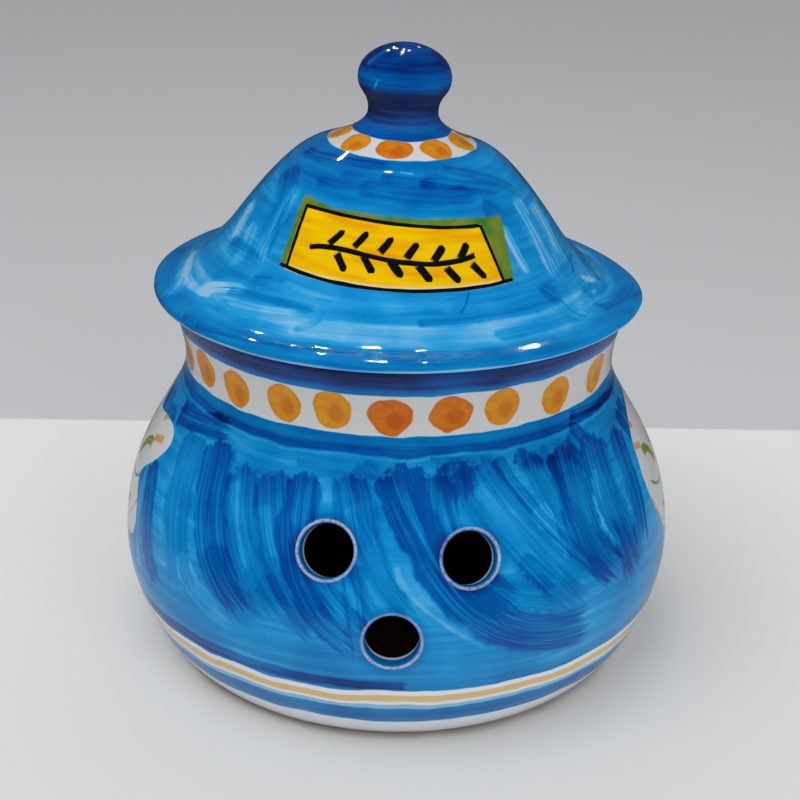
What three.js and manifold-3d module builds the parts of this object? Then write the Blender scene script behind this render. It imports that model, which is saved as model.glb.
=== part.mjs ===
// A glazed garlic keeper: a pot-bellied jar with three vent holes, and a knobbed bell lid that lifts off.
// Millimetres, +Z up. The origin is the middle of the foot on the table, and the vents face -Y.
import * as THREE from "three";
import { mergeVertices } from "three/addons/utils/BufferGeometryUtils.js";
import Module from "manifold-3d";

const wasm = await Module();
wasm.setup();

// Jar: outline
const jarHeight = 110.6;
const footRadius = 67.5;
const bellyRadius = 82.8;
const bellyHeight = 34;
const neckRadius = 63;
const neckHeight = 91;
const rimRadius = 66.7;

// Jar: wall, rim and foot
const jarWall = 5;
const jarFloor = 6.5;
const floorFillet = 13;
const rimRound = 1.4;
const footWidth = 9;
const footRecess = 2.5;

// Vents: turn is in degrees round the jar from the front, and height is on the outer wall
const ventRadius = 7.3;
const ventEdgeRound = 0.9;
const vents = [
  { turn: -14, height: 61.9 },
  { turn: 14.8, height: 60.4 },
  { turn: -0.5, height: 39.1 },
];

// Lid: outline, from its lip past the jar's rim to the top of the knob. A rise is measured from the station
// below it, and the first one from the flat underside.
const seatGap = 0.3;
const lipOverhang = 4.3;
const lipRound = 1.2;
const brimWidth = 10.5;
const brimRise = 5;
const coneInset = 13.1;
const coneRise = 12.6;
const shoulderRadius = 26;
const shoulderRise = 23;
const knobNeckRadius = 9.9;
const knobNeckRise = 10.4;
const knobRadius = 13.2;
const knobRise = 9.6;
const knobCrown = 9.4;

// Lid: hollow underside and the flange that keeps it in the neck
const lidWall = 5.5;
const crownRise = 1.6;
const flangeClearance = 1;
const flangeWall = 4;
const flangeDepth = 9;

// Facets
const facetsRound = 60;
const ventFacets = 24;

const overrun = 4;
const seat = jarHeight + seatGap;
const lipRadius = rimRadius + lipOverhang;
const flangeRadius = Math.min(neckRadius, rimRadius) - jarWall - flangeClearance;

const point = (radius, height) => new THREE.Vector2(radius, height);

// An arc about a centre, from one angle in degrees to another, both ends included.
function arc(radius, height, size, from, to, steps) {
  const turn = new THREE.EllipseCurve(
    radius, height, size, size,
    THREE.MathUtils.degToRad(from), THREE.MathUtils.degToRad(to), to < from,
  );
  return turn.getPoints(steps);
}

// One smooth span between two stations. A heading is the way that the outline runs there, in degrees from
// straight out, and each share of the chord says how far the span holds its heading.
function span(a, b, leaveShare, arriveShare, steps) {
  const chord = a.at.distanceTo(b.at);
  const towards = (station, reach) => {
    const angle = THREE.MathUtils.degToRad(station.heading);
    return point(Math.cos(angle), Math.sin(angle)).multiplyScalar(reach).add(station.at);
  };
  const curve = new THREE.CubicBezierCurve(
    a.at, towards(a, chord * leaveShare), towards(b, -chord * arriveShare), b.at,
  );
  return curve.getPoints(steps);
}

// An outline through stations, as one list of points. Each span's shares and steps stand with the station
// where it starts.
function outline(stations) {
  return stations.slice(1).flatMap((next, i) => {
    const [leaveShare, arriveShare] = stations[i].shares;
    const points = span(stations[i], next, leaveShare, arriveShare, stations[i].steps);
    return i ? points.slice(1) : points;
  });
}

// The outline moved square to itself by a wall, towards the inside.
function inset(points, wall) {
  return points.map((p, i) => {
    const before = points[Math.max(i - 1, 0)];
    const after = points[Math.min(i + 1, points.length - 1)];
    const along = after.clone().sub(before).normalize();
    return point(p.x - along.y * wall, p.y + along.x * wall);
  });
}

// A closed profile turned about Z.
function turned(profile, facets) {
  return new THREE.LatheGeometry(profile, facets).rotateX(Math.PI / 2);
}

function solidOf(geometry) {
  const bare = geometry.clone();
  bare.deleteAttribute("normal");
  bare.deleteAttribute("uv");
  const merged = mergeVertices(bare);
  const corners = [];
  const index = merged.index.array;
  for (let i = 0; i < index.length; i += 3) {
    const [a, b, c] = index.slice(i, i + 3);
    if (a !== b && b !== c && c !== a) corners.push(a, b, c);
  }
  return new wasm.Manifold(new wasm.Mesh({
    numProp: 3,
    vertProperties: merged.attributes.position.array,
    triVerts: new Uint32Array(corners),
  }));
}

function geometryOf(solid) {
  const mesh = solid.getMesh();
  const geometry = new THREE.BufferGeometry();
  geometry.setAttribute("position", new THREE.BufferAttribute(mesh.vertProperties, mesh.numProp));
  geometry.setIndex(new THREE.BufferAttribute(mesh.triVerts, 1));
  geometry.computeVertexNormals();
  return geometry;
}

// The jar's outer wall from the foot to the rim.
function jarOutline() {
  return outline([
    { at: point(footRadius, 0), heading: 37, shares: [0.36, 0.22], steps: 8 },
    { at: point(bellyRadius, bellyHeight), heading: 90, shares: [0.53, 0.24], steps: 9 },
    { at: point(neckRadius, neckHeight), heading: 90, shares: [0.38, 0.37], steps: 4 },
    { at: point(rimRadius, jarHeight - rimRound), heading: 74 },
  ]);
}

// The jar's inside, from the rim down to the middle of the floor.
function jarInside(outer) {
  const wall = inset(outer, jarWall).filter((p) => p.y > jarFloor + floorFillet && p.y < neckHeight);
  const foot = wall[0];
  const floorEdge = point(foot.x - floorFillet, jarFloor);
  const mouth = span(
    { at: point(rimRadius - jarWall, jarHeight - rimRound), heading: 254 },
    { at: wall.at(-1), heading: 270 }, 0.38, 0.37, 3,
  );
  const fillet = span({ at: foot, heading: 263 }, { at: floorEdge, heading: 180 }, 0.5, 0.5, 4);
  return [...mouth.slice(0, -1), ...wall.reverse().slice(0, -1), ...fillet, point(0, jarFloor)];
}

function jarProfile(outer) {
  const footInner = footRadius - footWidth;
  const landTop = jarHeight - rimRound;
  return [
    point(0, footRecess),
    point(footInner - footRecess, footRecess),
    point(footInner, 0),
    ...outer.slice(0, -1),
    ...arc(rimRadius - rimRound, landTop, rimRound, 0, 90, 3),
    ...arc(rimRadius - jarWall + rimRound, landTop, rimRound, 90, 180, 3).slice(0, -1),
    ...jarInside(outer),
  ];
}

// Where the outer wall is at a height, and which way it faces there.
function wallAt(outer, height) {
  const above = outer.findIndex((p) => p.y > height);
  const [low, high] = [outer[above - 1], outer[above]];
  const share = (height - low.y) / (high.y - low.y);
  const along = high.clone().sub(low).normalize();
  return { at: low.clone().lerp(high, share), facing: point(along.y, -along.x) };
}

// What one vent takes out of the wall: a bore square to the wall, flared where the outer edge is rounded.
function ventCutter(outer, vent) {
  const wall = wallAt(outer, vent.height);
  const mouth = ventRadius + ventEdgeRound;
  const dip = (mouth * mouth) / (wall.at.x + wall.at.x);
  const depth = jarWall + overrun;
  const profile = [
    point(0, -depth),
    point(ventRadius, -depth),
    ...arc(mouth, -dip - ventEdgeRound, ventEdgeRound, 180, 90, 2),
    point(mouth, overrun),
    point(0, overrun),
  ];
  const cutter = turned(profile, ventFacets);
  const facing = new THREE.Vector3(0, -wall.facing.x, wall.facing.y);
  cutter.applyQuaternion(new THREE.Quaternion().setFromUnitVectors(new THREE.Vector3(0, 0, 1), facing));
  cutter.translate(0, -wall.at.x, wall.at.y);
  return cutter.rotateZ(THREE.MathUtils.degToRad(vent.turn));
}

function jarGeometry() {
  const outer = jarOutline();
  let jar = solidOf(turned(jarProfile(outer), facetsRound));
  for (const vent of vents) jar = jar.subtract(solidOf(ventCutter(outer, vent)));
  return geometryOf(jar);
}

// The lid's stations from the lip to the top of the knob.
const brimRadius = lipRadius - brimWidth;
const coneHeight = brimRise + coneRise;
const shoulderHeight = coneHeight + shoulderRise;
const knobNeckHeight = shoulderHeight + knobNeckRise;
const knobHeight = knobNeckHeight + knobRise;
const lip = { at: point(lipRadius, lipRound), heading: 90, shares: [0.25, 0.42], steps: 5 };
const brim = { at: point(brimRadius, brimRise), heading: 145, shares: [0.45, 0.25], steps: 4 };
const coneFoot = { at: point(brimRadius - coneInset, coneHeight), heading: 125, shares: [0.25, 0.22], steps: 6 };
const shoulder = { at: point(shoulderRadius, shoulderHeight), heading: 160, shares: [0.25, 0.26], steps: 5 };
const knobNeck = { at: point(knobNeckRadius, knobNeckHeight), heading: 90, shares: [0.55, 0.46], steps: 5 };
const knobBelly = { at: point(knobRadius, knobHeight), heading: 90, shares: [0.35, 0.4], steps: 6 };
const knobTop = { at: point(0, knobHeight + knobCrown), heading: 180 };

// The lid's hollow underside, from the middle of its crown down to the flange.
function lidInside() {
  const dome = inset(outline([coneFoot, shoulder]), lidWall).reverse();
  const crown = point(0, dome[0].y + crownRise);
  const flangeInside = point(flangeRadius - flangeWall, 0);
  return [
    ...span({ at: crown, heading: 0 }, { at: dome[0], heading: 340 }, 0.3, 0.3, 3),
    ...dome.slice(1, -1),
    ...span({ at: dome.at(-1), heading: 310 }, { at: flangeInside, heading: 270 }, 0.3, 0.4, 4),
  ];
}

function lidProfile() {
  const flangeRound = flangeWall / 2;
  return [
    ...lidInside(),
    ...arc(flangeRadius - flangeRound, flangeRound - flangeDepth, flangeRound, 180, 360, 6),
    point(flangeRadius, 0),
    ...arc(lipRadius - lipRound, lipRound, lipRound, 270, 360, 2).slice(0, -1),
    ...outline([lip, brim, coneFoot, shoulder, knobNeck, knobBelly, knobTop]),
  ];
}

function glaze(color) {
  return new THREE.MeshStandardMaterial({ color, roughness: 0.12, metalness: 0 });
}

const jar = new THREE.Mesh(jarGeometry(), glaze(0x1470b4));
jar.name = "jar";

const lid = new THREE.Mesh(geometryOf(solidOf(turned(lidProfile(), facetsRound))), glaze(0x1a84c8));
lid.name = "lid";
lid.position.z = seat;

const keeper = new THREE.Group();
keeper.add(jar, lid);

export default keeper;
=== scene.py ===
# %% [markdown]
# A hand-painted garlic keeper: a pot-bellied earthenware jar with three vent holes, and a bell-shaped lid.
# The real one is thrown on a wheel, dipped in white tin glaze, painted with cobalt while the glaze is still
# powder, and fired once more, so the brush marks melt into a glossy skin. This file makes both pieces as
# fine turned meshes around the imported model, and gives the painter's strokes to the material.
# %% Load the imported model
import math
from collections import namedtuple

import bpy
import numpy as np
from mathutils import Matrix, Vector


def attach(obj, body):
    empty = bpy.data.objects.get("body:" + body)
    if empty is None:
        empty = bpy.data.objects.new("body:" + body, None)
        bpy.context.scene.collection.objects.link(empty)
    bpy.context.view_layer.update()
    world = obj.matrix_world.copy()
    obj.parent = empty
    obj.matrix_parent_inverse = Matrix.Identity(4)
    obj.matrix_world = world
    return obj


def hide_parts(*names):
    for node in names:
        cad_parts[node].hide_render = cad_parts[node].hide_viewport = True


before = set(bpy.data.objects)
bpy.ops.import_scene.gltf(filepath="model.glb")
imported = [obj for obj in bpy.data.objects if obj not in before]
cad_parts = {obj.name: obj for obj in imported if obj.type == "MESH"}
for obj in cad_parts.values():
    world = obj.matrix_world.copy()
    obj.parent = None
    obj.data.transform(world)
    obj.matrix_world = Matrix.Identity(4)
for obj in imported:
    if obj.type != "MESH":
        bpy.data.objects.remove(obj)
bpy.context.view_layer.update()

# %% [markdown]
# Blender works in metres and in linear colour. The potter's sizes are easier to read in millimetres, and
# colours are easier to pick as sRGB hex values, so one number and one function turn them into Blender's.
# %% Units and colours
MM = 0.001


def colour(hex_value):
    """An sRGB hex colour such as "1a84c8" as linear red, green, blue and alpha."""
    channels = [int(hex_value[i : i + 2], 16) / 255 for i in (0, 2, 4)]
    linear = [c / 12.92 if c <= 0.04045 else ((c + 0.055) / 1.055) ** 2.4 for c in channels]
    return (*linear, 1)


print("sRGB grey 808080 is", round(colour("808080")[0], 3), "in linear colour")

# %% [markdown]
# The camera looks down at the front of the jar from about half a metre, as somebody standing at the counter
# would with a long lens. A camera in Blender looks along its own -Z, so it's built from three directions:
# back towards the viewer, right, and up. The small roll and shift are those of a hand-held picture.
# %% Camera
LENS_PX = 1641.83
FRAME_PX = 800
SENSOR_MM = 36
VIEW_ELEVATION = math.radians(23.53)
VIEW_DISTANCE = 496.7 * MM
VIEW_TARGET = Vector((0, 0, 73.17 * MM))
VIEW_ROLL = math.radians(0.86)
VIEW_SHIFT_PX = 1.79

back = Vector((0, -math.cos(VIEW_ELEVATION), math.sin(VIEW_ELEVATION)))
right = Vector((1, 0, 0))
facing = Matrix((right, back.cross(right), back)).transposed() @ Matrix.Rotation(VIEW_ROLL, 3, "Z")

camera_data = bpy.data.cameras.new("counter_view")
camera_data.sensor_width = SENSOR_MM
camera_data.lens = LENS_PX / FRAME_PX * SENSOR_MM
camera_data.shift_x = VIEW_SHIFT_PX / FRAME_PX
camera = bpy.data.objects.new("counter_view", camera_data)
camera.matrix_world = Matrix.Translation(VIEW_TARGET + back * VIEW_DISTANCE) @ facing.to_4x4()
bpy.context.scene.collection.objects.link(camera)
bpy.context.scene.camera = camera
bpy.context.scene.view_settings.view_transform = "Standard"
print("camera at", [round(v, 3) for v in camera.matrix_world.translation])

# %% [markdown]
# Light and materials in Blender are small networks of nodes. One function here adds any node: values given
# in order go to the inputs that the node shows, and a value may be another node's output. The first network
# is the room. Its light is even and pale, but the glaze is as smooth as glass and mirrors only a dark
# ceiling, so a mirrored ray meets a much darker room.
# %% Nodes, and the light of the room
ROOM_LEVEL = 0.63
MIRRORED_ROOM = 0.05


def add(tree, kind, *values, out="", **more):
    """One shader node, given back as its first shown output, as the output named by out, or with out=None as
    itself. Its kind may be followed by its operation or its type of data. A keyword with a capital is the
    input of that name, and other keywords are the node's settings."""
    kind, _, mode = kind.partition(" ")
    node = tree.nodes.new("ShaderNode" + kind)
    if mode:
        setattr(node, "data_type" if kind == "Mix" else "operation", mode)
    settings = [name for name in more if name.islower()]
    for name in settings:
        setattr(node, name, more.pop(name))
    shown = [socket for socket in node.inputs if socket.enabled]
    by_name = [(node.inputs[name.replace("_", " ")], value) for name, value in more.items()]
    for socket, value in [*zip(shown, values), *by_name]:
        if isinstance(value, bpy.types.NodeSocket):
            tree.links.new(value, socket)
        else:
            socket.default_value = value
    if out is None:
        return node
    return node.outputs[out] if out else next(socket for socket in node.outputs if socket.enabled)


world = bpy.data.worlds.new("room")
world.use_nodes = True
tree = world.node_tree
tree.nodes.clear()
level = add(tree, "Mix", add(tree, "LightPath", out="Is Glossy Ray"), ROOM_LEVEL, MIRRORED_ROOM)
room = add(tree, "Background", colour("f4f5f6"), level)
add(tree, "OutputWorld", room, out=None)
bpy.context.scene.world = world
print("room:", len(tree.nodes), "nodes")

# %% [markdown]
# The stage is one pale sheet. Beyond a line behind the jar it is a slightly darker grey, painted shade
# that reads as an upright wall from the front and hides nothing from behind, where a real wall would
# stand in the way of the other views. The sheet grows darker towards the front and the grey further back,
# painted shade for light that falls off. In the glaze's reflections the table grows darker away from the
# jar, as a small table in a dim room does.
# %% Table and ground
TABLE_EDGE = 143 * MM
EDGE_BLUR = (-0.5 * MM, 1.5 * MM)
FAR_GROUND = 1100 * MM
NEAR_GROUND = -350 * MM
MIRRORED_TABLE = (60 * MM, 340 * MM)
TABLE_HALF = 4


def new_material(name):
    """An empty node material, and its tree."""
    material = bpy.data.materials.new(name)
    material.use_nodes = True
    material.node_tree.nodes.clear()
    return material, material.node_tree


table_mesh = bpy.data.meshes.new("table")
corners = [(TABLE_HALF * x, TABLE_HALF * y, 0) for x, y in ((-1, -1), (1, -1), (1, 1), (-1, 1))]
table_mesh.from_pydata(corners, [], [(0, 1, 2, 3)])
table = bpy.data.objects.new("table", table_mesh)
bpy.context.scene.collection.objects.link(table)

laminate, tree = new_material("matt_laminate")
spot = add(tree, "TexCoord", out="Object")
y = add(tree, "SeparateXYZ", spot, out="Y")
# Painted shade: the sheet darkens towards the front, and the wall's grey darkens further back.
nearer = add(tree, "MapRange", y, TABLE_EDGE, NEAR_GROUND)
further = add(tree, "MapRange", y, TABLE_EDGE, FAR_GROUND)
beyond = add(tree, "MapRange", y, TABLE_EDGE + EDGE_BLUR[0], TABLE_EDGE + EDGE_BLUR[1])
sheet = add(tree, "Mix RGBA", nearer, colour("efefed"), colour("d9d9d6"))
wall = add(tree, "Mix RGBA", further, colour("cfd0d2"), colour("c6c7c9"))
ground = add(tree, "Mix RGBA", beyond, sheet, wall)
cloud = add(tree, "TexNoise", Scale=9, Detail=3)
tint = add(tree, "Mix RGBA", cloud, colour("f4f4f4"), colour("ffffff"))
ground = add(tree, "Mix RGBA", 1, ground, tint, blend_type="MULTIPLY")
reach = add(tree, "VectorMath LENGTH", spot)
near_jar = add(tree, "MapRange", reach, *MIRRORED_TABLE, 0.75, 0.08, interpolation_type="SMOOTHSTEP")
brightness = add(tree, "Mix", add(tree, "LightPath", out="Is Glossy Ray"), 1, near_jar)
ground = add(tree, "VectorMath SCALE", ground, brightness)
surface = add(tree, "BsdfPrincipled", Base_Color=ground, Roughness=0.7, Specular_IOR_Level=0.2)
add(tree, "OutputMaterial", surface, out=None)
table_mesh.materials.append(laminate)
print("table:", 2 * TABLE_HALF, "m square,", len(tree.nodes), "nodes")

# %% [markdown]
# Two broad soft panels add to the room's light, one high on the left and one low on the right, and are kept
# out of the reflections. What shows in the glaze is a row of small lamps behind and above the jar, which
# make the short bright dashes along the front of the brim. A light's power goes with its area, so all lamps
# look equally bright.
# %% Panels and lamps
LAMP_HEIGHT = 0.012
LAMP_WATTS = 2200
LAMPS = [
    ((-0.33, 0.95, 1.04), 0.024), ((-0.18, 1.06, 0.94), 0.024), ((-0.14, 0.97, 1.05), 0.014),
    ((-0.04, 0.71, 1.28), 0.05), ((-0.05, 0.61, 1.41), 0.05), ((-0.015, 0.89, 1.14), 0.01),
    ((0.11, 0.83, 1.19), 0.022), ((0.24, 1.13, 0.83), 0.012),
]


def add_light(name, place, width, height, watts, mirrored):
    """A soft rectangular light that faces the jar. It shows either in the glaze or on matt surfaces."""
    data = bpy.data.lights.new(name, "AREA")
    data.shape = "RECTANGLE"
    data.size = width
    data.size_y = height
    data.energy = watts
    light = bpy.data.objects.new(name, data)
    light.location = place
    light.rotation_euler = (VIEW_TARGET - Vector(place)).to_track_quat("-Z", "Y").to_euler()
    light.visible_glossy = mirrored
    light.visible_diffuse = not mirrored
    bpy.context.scene.collection.objects.link(light)


add_light("high_panel", (-0.35, -0.4, 1.2), 1, 1, 7, False)
add_light("low_panel", (0.9, -1.5, 0.7), 1, 0.8, 6.5, False)
for number, (place, width) in enumerate(LAMPS):
    add_light(f"lamp_{number}", place, width, LAMP_HEIGHT, LAMP_WATTS * width * LAMP_HEIGHT, True)
print("lights: 2 panels and", len(LAMPS), "lamps")

# %% [markdown]
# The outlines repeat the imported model's stations, in millimetres: where the outline passes, which way it
# runs there in degrees from straight out, and how far the span that starts there holds its two headings. A
# cubic curve from station to station gives the round, unbroken lines of thrown ware.
# %% Stations and spans
Station = namedtuple("Station", "radius height heading leave arrive", defaults=(0, 0))
DENSE_STEPS = 240
JAR_HEIGHT = 110.6
JAR_RIM_ROUND = 1.4
JAR_NECK_HEIGHT = 91
JAR_STATIONS = [
    Station(67.5, 0, 37, 0.36, 0.22),
    Station(82.8, 34, 90, 0.53, 0.24),
    Station(63, JAR_NECK_HEIGHT, 90, 0.38, 0.37),
    Station(66.7, JAR_HEIGHT - JAR_RIM_ROUND, 74),
]


def heading_of(degrees):
    return np.array([math.cos(math.radians(degrees)), math.sin(math.radians(degrees))])


def span(a, b):
    """A dense cubic curve from station a to station b."""
    start, end = np.array(a[:2], float), np.array(b[:2], float)
    chord = np.linalg.norm(end - start)
    leave = start + chord * a.leave * heading_of(a.heading)
    arrive = end - chord * a.arrive * heading_of(b.heading)
    t = np.linspace(0, 1, DENSE_STEPS)[:, None]
    return (1 - t) ** 3 * start + 3 * (1 - t) ** 2 * t * leave + 3 * (1 - t) * t**2 * arrive + t**3 * end


print("the belly's widest point:", span(*JAR_STATIONS[:2])[-1], "mm")

# %% [markdown]
# A dense curve has uneven steps, and uneven rows of faces would show in the gloss. So each outline is
# walked again at even steps, which are fine enough for the glaze to look poured.
# %% Even rows
ROW_SPACING = 1.5


def run_along(points):
    """The length along a line of points, from its first one."""
    return np.concatenate([[0], np.cumsum(np.linalg.norm(np.diff(points, axis=0), axis=1))])


def spaced(points, spacing=ROW_SPACING):
    """The same line with even steps of about that spacing."""
    run = run_along(points)
    at = np.linspace(0, run[-1], max(2, round(run[-1] / spacing)) + 1)
    return np.stack([np.interp(at, run, points[:, i]) for i in range(points.shape[1])], 1)


def outline(stations, spacing=ROW_SPACING):
    spans = [span(a, b)[:-1] for a, b in zip(stations, stations[1:])]
    return spaced(np.concatenate([*spans, [stations[-1][:2]]]), spacing)


jar_outer = outline(JAR_STATIONS)
print("jar outline:", len(jar_outer), "rows over", round(run_along(jar_outer)[-1], 1), "mm")

# %% [markdown]
# A thrown wall is about as thick all the way up. Each inner row is its outer row moved in by the wall, so
# the two walls have matching rows and a vent can join them ring by ring.
# %% Wall of the jar
JAR_WALL = 5
JAR_FLOOR = 6.5
JAR_FILLET = 13


def inset(points, wall):
    """The line moved square to itself, towards the axis for a line that climbs."""
    along = np.gradient(points, axis=0)
    along /= np.linalg.norm(along, axis=1)[:, None]
    return points + wall * np.stack([-along[:, 1], along[:, 0]], 1)


jar_inset = inset(jar_outer, JAR_WALL)
matched = np.flatnonzero((jar_inset[:, 1] > JAR_FLOOR + JAR_FILLET) & (jar_inset[:, 1] < JAR_NECK_HEIGHT))
jar_inner = jar_inset[matched]
print("rows that the two walls share:", len(matched))

# %% [markdown]
# The jar's profile runs from the middle of its underside, over the ring of the foot, up the outer wall,
# over the rounded rim and down the inside to the middle of the floor. It is one unbroken line, as the clay
# is one piece.
# %% Jar profile
FOOT_RECESS = 2.5
FOOT_WIDTH = 9
FOOT_EDGE_ROUND = 0.6
FAN_RADIUS = 8
foot_radius, rim_radius = JAR_STATIONS[0].radius, JAR_STATIONS[-1].radius
foot_inner = foot_radius - FOOT_WIDTH
land = JAR_HEIGHT - JAR_RIM_ROUND


def arc(radius, height, size, start, end, steps=6):
    angle = np.radians(np.linspace(start, end, steps + 1))
    return np.stack([radius + size * np.cos(angle), height + size * np.sin(angle)], 1)


def level_run(start, end, height, spacing):
    """Evenly spaced points at one height, from one radius to another."""
    return spaced(np.array([[start, height], [end, height]]), spacing)


mouth = span(Station(rim_radius - JAR_WALL, land, 254, 0.38, 0.37), Station(*jar_inner[-1], 270))
floor_edge = jar_inner[0, 0] - JAR_FILLET
fillet = span(Station(*jar_inner[0], 263, 0.5, 0.5), Station(floor_edge, JAR_FLOOR, 180))
underside = [
    [[0, FOOT_RECESS]],
    level_run(FAN_RADIUS, foot_inner - FOOT_RECESS, FOOT_RECESS, 8),
    [[foot_inner, 0]],
    level_run(foot_inner + 2, foot_radius - FOOT_EDGE_ROUND, 0, 3),
]
jar_parts = [
    np.concatenate(underside),
    jar_outer[1:-1],
    arc(rim_radius - JAR_RIM_ROUND, land, JAR_RIM_ROUND, 0, 90),
    arc(rim_radius - JAR_WALL + JAR_RIM_ROUND, land, JAR_RIM_ROUND, 90, 180)[:-1],
    spaced(mouth)[:-1],
    jar_inner[::-1],
    spaced(fillet, 3)[1:],
    level_run(floor_edge - 6, FAN_RADIUS, JAR_FLOOR, 8),
    [[0, JAR_FLOOR]],
]
jar_profile = np.concatenate(jar_parts)
starts = np.cumsum([0, *map(len, jar_parts)])
outer_rows = starts[1] - 1 + matched
inner_rows = starts[5] + matched[-1] - matched
print("jar profile:", len(jar_profile), "rows")

# %% [markdown]
# A turned piece is its profile swept round the axis, as the wheel does it. Blender's Screw modifier would
# do the same, but here each face has to be found by its row and side, so the sweep is worked out directly.
# The two ends of the profile meet the axis in one point each, and all other rows are rings, so every face
# is a plain quad but for the two end fans.
# %% Turning a profile
JAR_SIDES = 320
Turned = namedtuple("Turned", "points quads fans")


def turn_profile(profile, sides):
    """Points, quads and end fans of a profile turned about Z, starting at the front and going round by +X."""
    angle = np.arange(sides) * 2 * math.pi / sides
    rings = profile[1:-1]
    x, y = rings[:, :1] * np.sin(angle), -rings[:, :1] * np.cos(angle)
    points = np.stack([x, y, np.repeat(rings[:, 1:], sides, 1)], 2).reshape(-1, 3)
    points = np.concatenate([[[0, 0, profile[0, 1]]], points, [[0, 0, profile[-1, 1]]]])
    here = np.arange(sides)
    after = (here + 1) % sides
    base = 1 + np.arange(len(rings) - 1)[:, None] * sides
    quads = np.stack([base + here, base + after, base + sides + after, base + sides + here], 2)
    last = 1 + (len(rings) - 1) * sides
    first_fan = np.stack([np.zeros(sides, int), 1 + after, 1 + here], 1)
    last_fan = np.stack([np.full(sides, len(points) - 1), last + here, last + after], 1)
    return Turned(points, quads, np.concatenate([first_fan, last_fan]))


jar_body = turn_profile(jar_profile, JAR_SIDES)
print("turned jar:", len(jar_body.points), "points")

# %% [markdown]
# The potter cuts each vent through the leather-hard wall with a tube, held square to the surface. So each
# vent has axes of its own: its centre on the outer wall, the ways round and up the wall there, and the way
# out.
# %% Places of the vents
VENT_RADIUS = 7.3
WALL_TRIES = 12
Vent = namedtuple("Vent", "turn height")
VENTS = [Vent(-14, 61.9), Vent(14.8, 60.4), Vent(-0.5, 39.1)]


def wall_radius(line, height):
    """How far an outline is from the axis at a height."""
    return np.interp(height, line[:, 1], line[:, 0])


def vent_axes(vent):
    angle = math.radians(vent.turn)
    ahead = np.array([math.sin(angle), -math.cos(angle), 0])
    climb = wall_radius(jar_outer, vent.height + 1) - wall_radius(jar_outer, vent.height - 1)
    up = (climb * ahead + [0, 0, 2]) / math.hypot(climb, 2)
    across = np.array([math.cos(angle), math.sin(angle), 0])
    centre = wall_radius(jar_outer, vent.height) * ahead + [0, 0, vent.height]
    return centre, across, up, np.cross(across, up)


def onto_wall(line, axes, radius, angle, start):
    """Points at a radius and angle round the vent's axis, slid along it onto a turned wall."""
    centre, across, up, out = axes
    flat = centre + np.outer(radius * np.cos(angle), across) + np.outer(radius * np.sin(angle), up)
    slide = np.full(len(flat), float(start))
    for _ in range(WALL_TRIES):
        points = flat + slide[:, None] * out
        slide -= np.hypot(points[:, 0], points[:, 1]) - wall_radius(line, points[:, 2])
    return flat + slide[:, None] * out


print("vent centres:", [vent_axes(vent)[0].round(1).tolist() for vent in VENTS])

# %% [markdown]
# A wet finger then wipes the cut edges round. Cutting with a boolean would leave long thin faces beside the
# hole, which a glossy glaze shows as dents. Instead, rings of new quads lead from the stepped edge that is
# left when a few quads are taken out to a true circle, over the rounded edge, through the wall, and out
# inside.
# %% Rings of a vent
OUTER_ROUND = 0.9
INNER_ROUND = 0.5
OUTER_HEM = VENT_RADIUS + OUTER_ROUND + 0.45
INNER_HEM = VENT_RADIUS + INNER_ROUND + 0.5


def rounded_rings(line, axes, angle, rounding, start, bends):
    """Rings over the rounded edge between the bore and a wall. The sign of the rounding is its side."""
    rings = []
    for bend in np.radians(bends):
        radius = VENT_RADIUS + abs(rounding) * (1 - math.sin(bend))
        rings.append(onto_wall(line, axes, radius, angle, start) - rounding * (1 - math.cos(bend)) * axes[3])
    return rings


def vent_rings(axes, outer_edge, inner_edge, points):
    """The rings of points between the stepped edge outside and the one inside, in order."""
    centre, across, up, out = axes

    def polar(edge):
        offset = points[edge] - centre
        return np.hypot(offset @ across, offset @ up), np.arctan2(offset @ up, offset @ across)

    def between(line, share, radius, angle, hem, start):
        """A ring that lies a share of the way from the hem's circle to the stepped edge."""
        angle = angle * share + even * (1 - share)
        return onto_wall(line, axes, radius * share + hem * (1 - share), angle, start)

    outer_radius, outer_angle = polar(outer_edge)
    inner_radius, inner_angle = polar(inner_edge)
    inner_angle = outer_angle + (inner_angle - outer_angle + math.pi) % (2 * math.pi) - math.pi
    even = np.arange(len(outer_edge)) * 2 * math.pi / len(outer_edge)
    even += np.mean(outer_angle - even)
    rings = [between(jar_outer, share, outer_radius, outer_angle, OUTER_HEM, 0) for share in (0.65, 0.3, 0)]
    rings += rounded_rings(jar_outer, axes, even, OUTER_ROUND, 0, np.linspace(0, 90, 6))
    inside = onto_wall(jar_inner, axes, VENT_RADIUS, even, -JAR_WALL) + INNER_ROUND * out
    rings += [rings[-1] * (1 - share) + inside * share for share in (0.25, 0.5, 0.75)]
    rings += rounded_rings(jar_inner, axes, even, -INNER_ROUND, -JAR_WALL, np.linspace(90, 0, 5))
    for share in (0, 0.5):
        rings.append(between(jar_inner, share, inner_radius, inner_angle, INNER_HEM, -JAR_WALL))
    return rings


print("a vent's edge is rounded by", OUTER_ROUND, "mm outside and", INNER_ROUND, "mm inside")

# %% [markdown]
# Now the wall is opened. Every outer quad near a vent goes, and its partner on the inner wall with it. A
# point that has lost all four of its quads lies inside the hole, and the others, in order round the vent,
# are the stepped edge that the rings start from.
# %% Opening the wall
VENT_CLEAR = VENT_RADIUS + OUTER_ROUND + 1.6


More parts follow.
